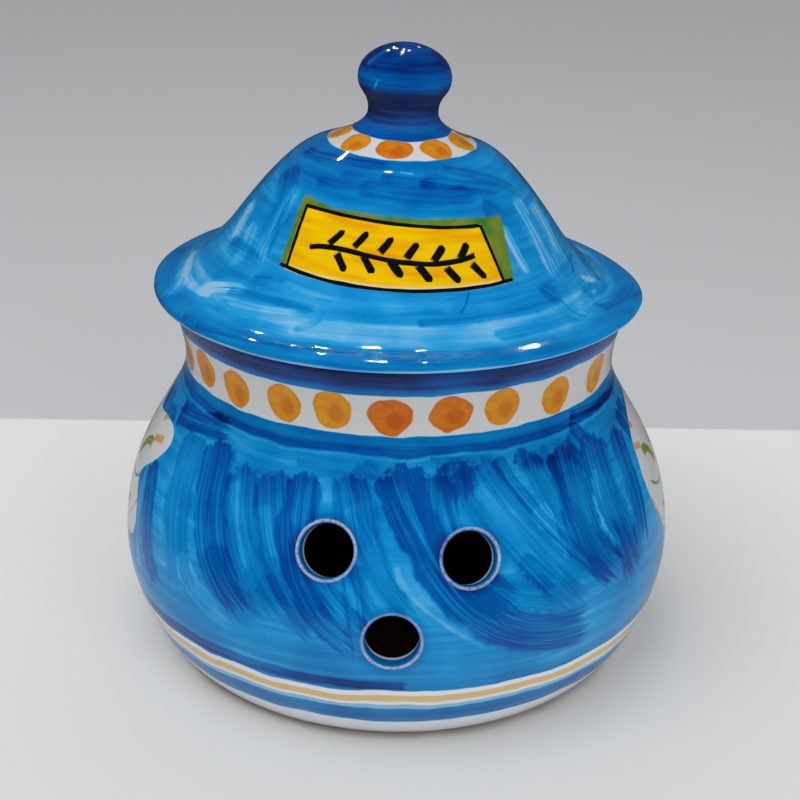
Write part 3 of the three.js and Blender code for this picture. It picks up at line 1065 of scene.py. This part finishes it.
brush = bpy.data.node_groups.new("brush_mark", "ShaderNodeTree")
for name, way, kind in (
    ("Place", "INPUT", "Vector"), ("Style", "INPUT", "Vector"), ("Softness", "INPUT", "Float"),
    ("Pigment", "OUTPUT", "Float"), ("Cover", "OUTPUT", "Float"),
):
    brush.interface.new_socket(name, in_out=way, socket_type="NodeSocket" + kind)
given, result = brush.nodes.new("NodeGroupInput"), brush.nodes.new("NodeGroupOutput")
along, across, left_over = add(brush, "SeparateXYZ", given.outputs["Place"], out=None).outputs
seed, load, half = add(brush, "SeparateXYZ", given.outputs["Style"], out=None).outputs
length = add(brush, "Math ADD", along, left_over)
offset = add(brush, "Math MULTIPLY", across, half)
shift = add(brush, "Math MULTIPLY", seed, SEED_SHIFT)
at = add(brush, "CombineXYZ", along, offset, shift)
print("brush group:", len(brush.interface.items_tree), "sockets")

# %% [markdown]
# A flat majolica brush holds soft bunches of hair, and each drags its own streak along the mark. The
# streaks are noise, stretched to the length that a bunch keeps its load and as narrow as a bunch. Single
# hairs draw finer and shorter lines within them.
# %% Brush: streaks of the hair
STREAK_MM = (60, 1.7)
HAIR_MM = (30, 0.6)

streak_at = add(brush, "VectorMath DIVIDE", at, (*STREAK_MM, 1))
streak = add(brush, "TexNoise", streak_at, Scale=1, Detail=4, Roughness=0.62)
streak = add(brush, "MapRange", streak, 0.33, 0.56, 0.12, 1.12)
hair_at = add(brush, "VectorMath DIVIDE", at, (*HAIR_MM, 1))
hair = add(brush, "TexNoise", hair_at, Scale=1, Detail=2)
hair = add(brush, "MapRange", hair, 0.3, 0.56, 0.5, 1.15)
print("a streak is", STREAK_MM[1], "mm wide and a hair", HAIR_MM[1], "mm")

# %% [markdown]
# The sides of a mark wander a little, its head is round and flecked, and its end breaks up where the hairs
# lift one after another. Each of the three is a distance that falls below nought outside the mark. A short
# dab is blunter than a long stroke and its end breaks up less.
# %% Brush: sides, head and end
LIFT_MM = (24, 1.3)
SWAY_MM = 9
DAB_TO_STROKE = (3, 22)

sway_at = add(brush, "CombineXYZ", add(brush, "Math DIVIDE", along, SWAY_MM), across, shift)
sway = add(brush, "TexNoise", sway_at, Scale=1, Detail=3)
sway = add(brush, "MapRange", sway, 0.3, 0.7, -0.24, 0.16)
rim = add(brush, "Math ABSOLUTE", across)
rim = add(brush, "Math SUBTRACT", 1, rim)
rim = add(brush, "Math ADD", rim, sway)

lasting = add(brush, "MapRange", length, *DAB_TO_STROKE, 0.08, 1)
squeeze = (1 / LIFT_MM[0], 1 / LIFT_MM[1], 1)
lift_at = add(brush, "VectorMath MULTIPLY_ADD", at, squeeze, (0, 0, 5))
lift = add(brush, "TexNoise", lift_at, Scale=1, Detail=4, Roughness=0.65)
lift = add(brush, "MapRange", lift, 0.3, 0.7, -0.2, 1.1)
lift = add(brush, "Math MULTIPLY", lift, lasting)
tail = add(brush, "Math DIVIDE", left_over, half)
tail = add(brush, "Math SUBTRACT", tail, lift)

laid_on = add(brush, "Math GREATER_THAN", load, 0)
fleck = add(brush, "TexNoise", at, Scale=0.5, Detail=3, Roughness=0.6)
fleck = add(brush, "MapRange", fleck, 0.3, 0.7, -0.2, 0.2)
for factor in (lasting, laid_on):
    fleck = add(brush, "Math MULTIPLY", fleck, factor)
rounding = add(brush, "Math MULTIPLY", across, across)
blunt = add(brush, "MapRange", length, *DAB_TO_STROKE, 1, 0.4)
rounding = add(brush, "Math MULTIPLY", rounding, blunt)
head = add(brush, "Math DIVIDE", along, half)
head = add(brush, "Math SUBTRACT", head, rounding)
for change in (sway, fleck):
    head = add(brush, "Math ADD", head, change)
print("brush group:", len(brush.nodes), "nodes so far")

# %% [markdown]
# Last, the pigment. It follows the streaks, thins a little as the brush dries, and gathers in a darker line
# along the wet edge and in the loaded head. All of it stands only where the mark covers the glaze.
# %% Brush: cover and pigment
cover = 1
for distance, softness in ((rim, 0.2), (head, 0.18), (tail, 0.6)):
    softness = add(brush, "Math ADD", given.outputs["Softness"], softness)
    covered = add(brush, "MapRange", distance, -0.05, softness, interpolation_type="SMOOTHSTEP")
    cover = add(brush, "Math MULTIPLY", cover, covered)
drying = add(brush, "Math DIVIDE", along, length)
drying = add(brush, "MapRange", drying, 0, 1, 1.05, 0.95)
pigment = streak
for factor in (hair, drying, load):
    pigment = add(brush, "Math MULTIPLY", pigment, factor)
nearest = add(brush, "Math MINIMUM", rim, head)
wet = add(brush, "MapRange", nearest, 0, 0.4, 0.2, 0)
loaded = add(brush, "MapRange", head, 0, 1.8, 0.5, 0)
gathered = add(brush, "Math ADD", wet, loaded)
for factor in (load, laid_on):
    gathered = add(brush, "Math MULTIPLY", gathered, factor)
pigment = add(brush, "Math ADD", pigment, gathered)
pigment = add(brush, "Math MULTIPLY", pigment, cover)
brush.links.new(pigment, result.inputs["Pigment"])
brush.links.new(cover, result.inputs["Cover"])


def layer_of_marks(tree, name, layer, softness=0):
    """The pigment, the cover and the style of one layer of marks, read from the mesh."""
    place = add(tree, "Attribute", attribute_name=f"{name}_place_{layer}", out="Vector")
    style = add(tree, "Attribute", attribute_name=f"{name}_style_{layer}", out="Vector")
    pigment, cover = add(tree, "Group", place, style, softness, node_tree=brush, out=None).outputs
    return pigment, cover, style


print("brush group:", len(brush.nodes), "nodes")

# %% [markdown]
# Cobalt in a tin glaze is see-through: the same pigment runs from almost white, through sky blue, to near
# navy as it gets thicker. So the paint is worked out as an amount of pigment, and one colour ramp turns it
# into blue.
# %% Cobalt over white
COBALT = [
    (0, "cfd0d0"), (0.1, "accce4"), (0.2, "62aedc"), (0.3, "2a9bd6"), (0.42, "0f88ca"), (0.52, "067abc"),
    (0.64, "0368ae"), (0.78, "0150a0"), (0.9, "013a84"), (1, "00235c"),
]


def fill_ramp(ramp, stops):
    """Set a colour ramp's stops from pairs of a place and a colour, and give back its colour."""
    elements = ramp.color_ramp.elements
    for element, (place, value) in zip(elements, (stops[0], stops[-1])):
        element.position = place
        element.color = value
    for place, value in stops[1:-1]:
        elements.new(place).color = value
    return ramp.outputs["Color"]


def cobalt_colour(tree, pigment):
    ramp = add(tree, "ValToRGB", pigment, out=None)
    return fill_ramp(ramp, [(amount, colour(code)) for amount, code in COBALT])


print("cobalt ramp:", len(COBALT), "stops")

# %% [markdown]
# The first coat is banded on while the wheel turns, so its amount depends on the height alone, and a curve
# holds it. A hand isn't a ruler: the height that it paints at wanders by a fraction of a millimetre. A
# noise's scale is how many of its waves fit in a metre.
# %% Bands put on at the wheel
WANDER_SCALE = 65


def hand_height(tree, true_height, wander_mm):
    """The height as the hand paints it, in millimetres, and how far it wanders from the true one."""
    spot = add(tree, "TexCoord", out="Object")
    wander = add(tree, "TexNoise", spot, Scale=WANDER_SCALE, Detail=2)
    wander = add(tree, "MapRange", wander, 0.25, 0.75, -wander_mm, wander_mm)
    return add(tree, "Math ADD", true_height, wander), wander


def wash_by_height(tree, height, knots):
    """An amount that goes straight from one knot to the next, each a height and an amount."""
    low, high = knots[0][0], knots[-1][0]
    node = add(tree, "FloatCurve", Value=add(tree, "MapRange", height, low, high), out=None)
    curve = node.mapping.curves[0]
    curve.points[0].location, curve.points[1].location = (0, knots[0][1]), (1, knots[-1][1])
    for place, amount in knots[1:-1]:
        curve.points.new((place - low) / (high - low), amount)
    for knot in curve.points:
        knot.handle_type = "VECTOR"
    node.mapping.update()
    return node.outputs["Value"]


def band(tree, value, low, high, edge):
    """1 where a value is between two others, with a soft edge."""
    away = add(tree, "Math SUBTRACT", value, (low + high) / 2)
    away = add(tree, "Math ABSOLUTE", away)
    return add(tree, "MapRange", away, (high - low) / 2, (high - low) / 2 - edge)


print("a wander is about", round(1 / WANDER_SCALE / MM), "mm long")

# %% [markdown]
# Streaks of the first coat run round the piece, so their noise is long in x and y and short up the wall.
# All layers of marks go over it as the second coat. Where a mark wets the first coat again, its streaks
# soften, and paint can't get thicker than one brushful, so the second coat's sum has a smooth upper limit.
# %% Two coats
WASH_MM = 42
WASH_STREAK_MM = 1.9
THINNEST = 0.15
THICKEST_SECOND = 0.42
SMOOTH = 0.12
WETTED = 0.8


def wheel_streaks(tree, true_height, depth):
    x, y, _ = add(tree, "SeparateXYZ", add(tree, "TexCoord", out="Object"), out=None).outputs
    at = add(tree, "CombineXYZ", x, y, true_height)
    at = add(tree, "VectorMath DIVIDE", at, (WASH_MM * MM, WASH_MM * MM, WASH_STREAK_MM))
    streaks = add(tree, "TexNoise", at, Scale=1, Detail=4, Roughness=0.6)
    return add(tree, "MapRange", streaks, 0.3, 0.7, -depth, depth)


def cloudy(tree, scale, depth):
    clouds = add(tree, "TexNoise", add(tree, "TexCoord", out="Object"), Scale=scale, Detail=3)
    return add(tree, "MapRange", clouds, 0.3, 0.7, -depth, depth)


def two_coats(tree, first, streaks, softness):
    """All the cobalt: the first coat, its streaks, and the marks over it."""
    second, dry = 0, 1
    for layer in range(STROKE_LAYERS):
        pigment, cover, _ = layer_of_marks(tree, "stroke", layer, softness)
        second = add(tree, "Math ADD", second, pigment)
        wetted = add(tree, "Math MULTIPLY", cover, WETTED)
        wetted = add(tree, "Math SUBTRACT", 1, wetted)
        dry = add(tree, "Math MULTIPLY", dry, wetted)
    second = add(tree, "Math SMOOTH_MIN", second, THICKEST_SECOND, SMOOTH)
    streaks = add(tree, "Math MULTIPLY", streaks, dry)
    total = add(tree, "Math ADD", first, second)
    total = add(tree, "Math ADD", total, streaks)
    return add(tree, "Math SMOOTH_MAX", total, THINNEST, SMOOTH)


print("the second coat is up to", THICKEST_SECOND, "of the full cobalt")

# %% [markdown]
# An orange daub is two touches of a round brush: a first full one, and a smaller, darker one low on its
# right side. Each is an ellipse whose edge wanders. The paint gathers at the rim, and the warmest daubs are
# the widest.
# %% Daub paint
DAUB_GRAIN = 0.16
MOTTLE_GRAIN = 0.5
WARMTH_SEED = 37


def daub_paint(tree, width, tall):
    """The mask and the colour of daubs with these half widths and half heights in millimetres."""
    place = add(tree, "Attribute", attribute_name="daub", out="Vector")
    x, y, warmth = add(tree, "SeparateXYZ", place, out=None).outputs
    drift = add(tree, "Math MULTIPLY", warmth, WARMTH_SEED)
    at = add(tree, "CombineXYZ", x, y, drift)
    wander = add(tree, "TexNoise", at, Scale=DAUB_GRAIN, Detail=1)
    wander = add(tree, "MapRange", wander, 0.25, 0.75, -0.12, 0.12)
    size = add(tree, "MapRange", warmth, 0.3, 1, 1, 1.14)
    narrowing = add(tree, "CombineXYZ", add(tree, "Math DIVIDE", 1, size), 1, 0)
    touches = []
    for right, up, half_width, half_height in ((0, 0, 1, 1), (0.24, -0.2, 0.42, 0.5)):
        squeeze = (1 / (half_width * width), 1 / (half_height * tall), 0)
        slide = (-right / half_width, -up / half_height, 0)
        touch = add(tree, "VectorMath MULTIPLY_ADD", place, squeeze, slide)
        touch = add(tree, "VectorMath MULTIPLY", touch, narrowing)
        touch = add(tree, "VectorMath LENGTH", touch)
        touches.append(add(tree, "Math ADD", touch, wander))
    mask = add(tree, "MapRange", touches[0], 1, 0.94)
    orange = add(tree, "Mix RGBA", warmth, colour("dda01c"), colour("d0701a"))
    deep = add(tree, "Mix RGBA", warmth, colour("c8781c"), colour("b8540e"))
    mottle = add(tree, "MapRange", add(tree, "TexNoise", at, Scale=MOTTLE_GRAIN, Detail=2), 0.4, 0.7, 0, 0.6)
    second = add(tree, "MapRange", touches[1], 1.15, 0.65, 0, 0.85)
    rim = add(tree, "MapRange", touches[0], 0.78, 0.97, 0, 0.45)
    for share in (mottle, second, rim):
        orange = add(tree, "Mix RGBA", share, orange, deep)
    return mask, orange


print("a touch of the brush is mottled in patches of about", round(1 / MOTTLE_GRAIN), "mm")

# %% [markdown]
# The finished skin is a clear, glossy lead-free glaze: refractive index about 1.5 and hardly any roughness.
# It isn't flat. It pools in slow waves about a centimetre across, with a pinhole here and there where gas
# escaped in the firing. Both are far too low to model, so they go into the bump.
# %% Glaze surface
GLAZE_ROUGHNESS = 0.05
THIN_GLAZE_ROUGHNESS = 0.55
CLAY_ROUGHNESS = 0.8
GLAZE_INDEX = 1.5
GLAZE_SPECULAR = 0.4
WAVE_SCALE = 75
PIT_SCALE = 110
BUMP_HEIGHT = 0.25 * MM


def glazed_surface(tree, tone, rough):
    spot = add(tree, "TexCoord", out="Object")
    waves = add(tree, "TexNoise", spot, Scale=WAVE_SCALE, Detail=2)
    pits = add(tree, "TexVoronoi", spot, Scale=PIT_SCALE, out="Distance")
    pits = add(tree, "MapRange", pits, 0.02, 0.05, -0.35, 0)
    level = add(tree, "Math ADD", waves, pits)
    bump = add(tree, "Bump", Height=level, Strength=0.5, Distance=BUMP_HEIGHT)
    surface = add(
        tree, "BsdfPrincipled", Base_Color=tone, Roughness=rough, IOR=GLAZE_INDEX,
        Specular_IOR_Level=GLAZE_SPECULAR, Normal=bump,
    )
    add(tree, "OutputMaterial", surface, out=None)


print("waves about", round(1 / WAVE_SCALE / MM), "mm long")

# %% [markdown]
# The jar's material starts at its foot. A ramp over the lowest 28 mm holds three amounts: red for cobalt,
# green for the ochre line, and blue for the bare clay that the jar stands on. The potter wipes that ring
# clean, or the jar would stick to the kiln shelf.
# %% Jar: bands of the foot
FOOT_ZONE = 28
JAR_WANDER = 0.75
FOOT_BANDS = [
    (0, (0, 0, 1)), (1.5, (0, 0, 1)), (1.9, (0, 0, 0)), (9.1, (0, 0, 0)), (9.7, (0.5, 0, 0)),
    (12, (0.62, 0, 0)), (15.2, (0.5, 0, 0)), (15.6, (0.1, 0, 0)), (16.6, (0.08, 0, 0)), (17.2, (0, 0, 0)),
    (18, (0, 0, 0)), (18.4, (0, 0.9, 0)), (20.5, (0, 0.9, 0)), (20.9, (0, 0, 0)), (22.4, (0, 0, 0)),
    (22.9, (0.54, 0, 0)), (25.5, (0.5, 0, 0)), (28, (0.36, 0, 0)),
]

majolica, tree = new_material("tin_glazed_majolica_jar")
spot = add(tree, "TexCoord", out="Object")
true_height = add(tree, "SeparateXYZ", spot, out="Z")
true_height = add(tree, "Math MULTIPLY", true_height, 1 / MM)
height, wander = hand_height(tree, true_height, JAR_WANDER)
ramp = add(tree, "ValToRGB", add(tree, "Math DIVIDE", height, FOOT_ZONE), out=None)
bands = fill_ramp(ramp, [(h / FOOT_ZONE, (*amounts, 1)) for h, amounts in FOOT_BANDS])
foot_cobalt, ochre_line, bare_foot = add(tree, "SeparateColor", bands, out=None).outputs
print("bands of the foot:", len(FOOT_BANDS), "stops")

# %% [markdown]
# Above the foot the wash is mid blue on the belly, darker under the neck and near navy at the rim. From
# about 104 mm up that navy is blue paint deepened by painted shade, where the lid's brim hangs over the
# neck. The neck band is left white, and so are the two reserves. The one on the left has wavy edges, and
# both are ovals about a point, so the distance from it, measured in half widths and half heights, tells the
# inside from the outside.
# %% Jar: two coats, and what is left white
JAR_WASH_AND_PAINTED_SHADE = [
    (0, 0.46), (22, 0.46), (28, 0.44), (34, 0.42), (42, 0.39), (60, 0.38), (74, 0.42), (79, 0.48),
    (83.6, 0.46), (84.3, 0.3), (84.9, 0.82), (86.6, 0.78), (87.3, 0.6), (90.2, 0.58), (102, 0.56),
    # From 103.4 mm to the rim the blue is deepened by painted shade from the lid's brim.
    (103.4, 0.66), (105, 0.92), (110, 0.98), (112, 0.98),
]
JAR_CLOUDS = (55, 0.1)
JAR_STREAKS = 0.1
JAR_SOFTENING = 0.05
NECK_BAND = (89.7, 102.7, 0.4)
RESERVE_LOBES = 5

low_down = add(tree, "Math LESS_THAN", height, FOOT_ZONE)
wash = add(tree, "Mix", low_down, wash_by_height(tree, height, JAR_WASH_AND_PAINTED_SHADE), foot_cobalt)
clouds = cloudy(tree, *JAR_CLOUDS)
wash = add(tree, "Math ADD", wash, clouds)
pigment = two_coats(tree, wash, wheel_streaks(tree, true_height, JAR_STREAKS), JAR_SOFTENING)

reserve = add(tree, "Attribute", attribute_name="reserve", out="Vector")
side = add(tree, "SeparateXYZ", reserve, out="Z")
oval = (1 / RESERVE_HALF[0], 1 / RESERVE_HALF[1], 0)
oval = add(tree, "VectorMath MULTIPLY", reserve, oval)
x, y, _ = add(tree, "SeparateXYZ", oval, out=None).outputs
angle = add(tree, "Math ARCTAN2", y, x)
angle = add(tree, "Math MULTIPLY", angle, RESERVE_LOBES)
lobes = add(tree, "Math COSINE", angle)
lobes = add(tree, "Math MULTIPLY", lobes, add(tree, "MapRange", side, -1, 1, 0.22, 0))
reach = add(tree, "VectorMath LENGTH", oval)
for change in (lobes, add(tree, "Math MULTIPLY", wander, 0.03)):
    reach = add(tree, "Math ADD", reach, change)
in_reserve = add(tree, "MapRange", reach, 0.94, 0.925)

neck_white = band(tree, height, *NECK_BAND)
foot_white_and_bounce = add(tree, "MapRange", foot_cobalt, 0.04, 0)
foot_white_and_bounce = add(tree, "Math MULTIPLY", foot_white_and_bounce, low_down)
white = add(tree, "Math MAXIMUM", neck_white, in_reserve)
white = add(tree, "Math MAXIMUM", white, foot_white_and_bounce)
blue = add(tree, "Math SUBTRACT", 1, white)
pigment = add(tree, "Math MULTIPLY", pigment, blue)
print("the neck band is", round(NECK_BAND[1] - NECK_BAND[0], 1), "mm high")

# %% [markdown]
# With the cobalt settled the other paints go on top: a brighter white on the foot's white bands, which is
# painted bounce light from the pale table, the ochre line, the daubs, and the sprays in the reserves. Round
# each vent the cobalt pools, and it runs thick into the bore.
# %% Jar: colours over the cobalt
JAR_DAUB = (5.5, 5.8)
SPRAY_PAINTS = [(0, colour("c98a3e")), (0.3, colour("2a7f86")), (0.55, colour("7f8a35"))]

bore = add(tree, "Attribute", attribute_name="bore", out="Vector")
near_bore, in_wall, _ = add(tree, "SeparateXYZ", bore, out=None).outputs
pooled = add(tree, "MapRange", near_bore, 11, 8.6, 0, 0.13)
pigment = add(tree, "Math ADD", pigment, pooled)
pigment = add(tree, "Mix", add(tree, "MapRange", near_bore, 8.1, 7.4), pigment, 0.66)
tone = cobalt_colour(tree, pigment)
daub_mask, daub_tone = daub_paint(tree, *JAR_DAUB)
in_band = add(tree, "Math MULTIPLY", daub_mask, neck_white)
# The foot's white bands take a brighter white than the glaze: painted bounce light from the table.
for share, paint in ((foot_white_and_bounce, colour("e6e9ee")), (ochre_line, colour("dcb870")), (in_band, daub_tone)):
    tone = add(tree, "Mix RGBA", share, tone, paint)
for layer in range(SPRAY_LAYERS):
    pigment, cover, style = layer_of_marks(tree, "spray", layer)
    which = add(tree, "Math DIVIDE", add(tree, "SeparateXYZ", style, out="Y"), 4)
    ramp = add(tree, "ValToRGB", which, out=None)
    ramp.color_ramp.interpolation = "CONSTANT"
    paint = fill_ramp(ramp, SPRAY_PAINTS)
    share = add(tree, "MapRange", pigment, 0.2, 2.2, 0.72, 1)
    for factor in (cover, in_reserve):
        share = add(tree, "Math MULTIPLY", share, factor)
    tone = add(tree, "Mix RGBA", share, tone, paint)
print("jar material:", len(tree.nodes), "nodes so far")

# %% [markdown]
# A glazed edge is where a pot wears first. Round each vent a thin ring is chipped pale, in patches, and
# inside it the white glaze has run through the wall. That inner ring is painted near white, brighter than
# the glaze, as a painted highlight on the wet edge inside the bore. The inside and the ring of the foot are
# bare terracotta, which is matt, so the roughness follows the foot as well.
# %% Jar: worn vents and bare clay
WORN_RING = (7.55, 8.55)
CHIP_SCALE = 900

chips = add(tree, "TexNoise", spot, Scale=CHIP_SCALE, Detail=2)
worn = band(tree, near_bore, *WORN_RING, 0.25)
patchy = add(tree, "MapRange", clouds, -0.05, 0.04, 0.4, 1)
flaky = add(tree, "MapRange", chips, 0.3, 0.55, 0.35, 1)
for factor in (patchy, flaky):
    worn = add(tree, "Math MULTIPLY", worn, factor)
chipped = add(tree, "MapRange", chips, 0.55, 0.66)
chipped = add(tree, "Mix RGBA", chipped, colour("b4bdd2"), colour("8f7f82"))
inside = add(tree, "Attribute", attribute_name="inside", out="Fac")
# White glaze inside the bore, painted brighter than the glaze as a painted highlight of its wet edge.
inner_lip_and_highlight = add(tree, "MapRange", in_wall, 3.3, 3.6)
inner_lip_and_highlight = add(tree, "Math MULTIPLY", inner_lip_and_highlight, add(tree, "MapRange", near_bore, 8.6, 8.2))
clay = add(tree, "MapRange", clouds, -0.1, 0.1)
clay = add(tree, "Mix RGBA", clay, colour("6e4a3a"), colour("875c47"))
for share, paint in (
    (worn, chipped), (inside, colour("5a3c30")), (inner_lip_and_highlight, colour("dfe3ea")), (bare_foot, clay)
):
    tone = add(tree, "Mix RGBA", share, tone, paint)
rough = add(tree, "Mix", bare_foot, GLAZE_ROUGHNESS, CLAY_ROUGHNESS)
glazed_surface(tree, tone, rough)
jar.mesh.materials.append(majolica)
print("jar material:", len(tree.nodes), "nodes")

# %% [markdown]
# The lid's glaze is the jar's, with its own wash: nearly navy on the knob, brushed blue on the bell and a
# bright thin blue on the brim, made paler than the paint alone as painted light where the brim faces the
# lamps. Low on the knob a paler band is thinner paint and a painted reflection of the white ring, and the
# lip's lower edge is painted near white, a painted reflection of the bright table. A white ring under the
# knob holds the daubs.
# %% Lid: two coats and the ring of daubs
LID_WANDER = 0.25
LID_WASH_AND_PAINTED_LIGHT = [
    # From 114.9 mm the brim's blue is paler, partly painted light where the brim faces the lamps.
    # Up to 111.7 mm the lip's lower edge is near white, a painted reflection of the bright table.
    (110, 0.06), (111.7, 0.1), (112.1, 0.56), (114.2, 0.52), (114.9, 0.3), (118.6, 0.29), (120, 0.42),
    (126, 0.42), (141, 0.44), (146, 0.54), (153, 0.56), (156.8, 0.74), (160, 0.84), (162.5, 1.02),
    # From 171 to 173 mm the knob's paler band is thinner paint and a painted reflection of the white ring.
    (168, 1.08), (169.8, 0.96), (171, 0.72), (173, 0.74), (175, 0.94), (178, 1.04), (182, 0.86),
]
LID_CLOUDS = (60, 0.09)
LID_STREAKS = 0.12
LID_SOFTENING = 0.4
LID_DAUB = (4.8, 4.3)
RING_BAND = (153.15, 156.8, 0.2)

majolica, tree = new_material("tin_glazed_majolica_lid")
spot = add(tree, "TexCoord", out="Object")
true_height = add(tree, "Attribute", attribute_name="thrown_height", out="Fac")
height, wander = hand_height(tree, true_height, LID_WANDER)
clouds = cloudy(tree, *LID_CLOUDS)
wash = add(tree, "Math ADD", wash_by_height(tree, height, LID_WASH_AND_PAINTED_LIGHT), clouds)
pigment = two_coats(tree, wash, wheel_streaks(tree, true_height, LID_STREAKS), LID_SOFTENING)
ring_white = band(tree, height, *RING_BAND)
blue = add(tree, "Math SUBTRACT", 1, ring_white)
pigment = add(tree, "Math MULTIPLY", pigment, blue)
tone = cobalt_colour(tree, pigment)
daub_mask, daub_tone = daub_paint(tree, *LID_DAUB)
in_ring = add(tree, "Math MULTIPLY", daub_mask, ring_white)
tone = add(tree, "Mix RGBA", in_ring, tone, daub_tone)
print("lid material:", len(tree.nodes), "nodes so far")

# %% [markdown]
# The yellow of the label was put on first and a little too wide, and over the blue its spill turned green,
# most of all on the right. So a wider, rounder shape is painted green, and then the field yellow within its
# four edges, in strokes drawn from side to side. Along the lower edge the yellow is rubbed pale.
# %% Lid: label
SPILL = 2.6
SPILL_ROUND = 2.4
SMEAR_SCALE = 160
YELLOW_STROKE_MM = (18, 3)

label = add(tree, "Attribute", attribute_name="label_sides", out="Vector")
left, right, bottom = add(tree, "SeparateXYZ", label, out=None).outputs
top = add(tree, "Attribute", attribute_name="label_top", out="Fac")
within = left
for edge in (right, bottom, top):
    within = add(tree, "Math MINIMUM", within, edge)
field = add(tree, "MapRange", within, -0.5, -0.2)

spill_left = add(tree, "Math ADD", left, SPILL)
spill_right = add(tree, "Math ADD", right, add(tree, "MapRange", top, 0, 16, 8.4, 3.4))
spill_top = add(tree, "Math ADD", top, SPILL)
spill = add(tree, "Math MINIMUM", spill_left, spill_right)
spill = add(tree, "Math SMOOTH_MIN", spill, spill_top, SPILL_ROUND)
spill = add(tree, "Math MINIMUM", spill, bottom)
spill = add(tree, "Math ADD", spill, add(tree, "Math MULTIPLY", wander, 3))
fringe = add(tree, "MapRange", spill, 0, 0.9, 0, 0.97)
smear = add(tree, "MapRange", add(tree, "TexNoise", spot, Scale=SMEAR_SCALE, Detail=3), 0.35, 0.65)
green = add(tree, "Mix RGBA", smear, colour("3c7414"), colour("758410"))

stroke = add(tree, "CombineXYZ", left, bottom)
stroke = add(tree, "VectorMath DIVIDE", stroke, (*YELLOW_STROKE_MM, 1))
stroke = add(tree, "MapRange", add(tree, "TexNoise", stroke, Scale=1, Detail=3), 0.42, 0.66)
yellow = add(tree, "Mix RGBA", stroke, colour("ecc000"), colour("e39a00"))
rubbed = add(tree, "MapRange", bottom, 0.7, 1.4, 0.6, 0)
yellow = add(tree, "Mix RGBA", rubbed, yellow, colour("d9d2b4"))
for share, paint in ((fringe, green), (field, yellow)):
    tone = add(tree, "Mix RGBA", share, tone, paint)
print("lid material:", len(tree.nodes), "nodes so far")

# %% [markdown]
# Black goes on last. The underside and the hollow are bare clay, and round the knob's pinched neck the
# glaze runs thin and loses some of its gloss.
# %% Lid: black lines, bare clay and thin glaze
PINCHED = (158, 161.5)
KNOB_FOOT = (168, 171)

for layer in range(INK_LAYERS):
    _, cover, _ = layer_of_marks(tree, "ink", layer)
    tone = add(tree, "Mix RGBA", cover, tone, colour("0c0d10"))
clay = add(tree, "MapRange", clouds, -0.1, 0.1)
clay = add(tree, "Mix RGBA", clay, colour("7d5341"), colour("96674e"))
bare = add(tree, "Attribute", attribute_name="inside", out="Fac")
tone = add(tree, "Mix RGBA", bare, tone, clay)
rough = add(tree, "Mix", bare, GLAZE_ROUGHNESS, CLAY_ROUGHNESS)
thin = add(tree, "MapRange", true_height, *PINCHED)
thin = add(tree, "Math SUBTRACT", thin, add(tree, "MapRange", true_height, *KNOB_FOOT))
rough = add(tree, "MapRange", thin, 0, 1, rough, THIN_GLAZE_ROUGHNESS)
glazed_surface(tree, tone, rough)
lid.mesh.materials.append(majolica)
print("lid material:", len(tree.nodes), "nodes")

# %% [markdown]
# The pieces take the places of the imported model's two nodes and ride on their bodies, so the lid lifts off
# the jar in every pose.
# %% Riding on the bodies
for piece, body in ((painted_jar, "jar"), (painted_lid, "lid")):
    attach(piece, body)
    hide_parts(body)
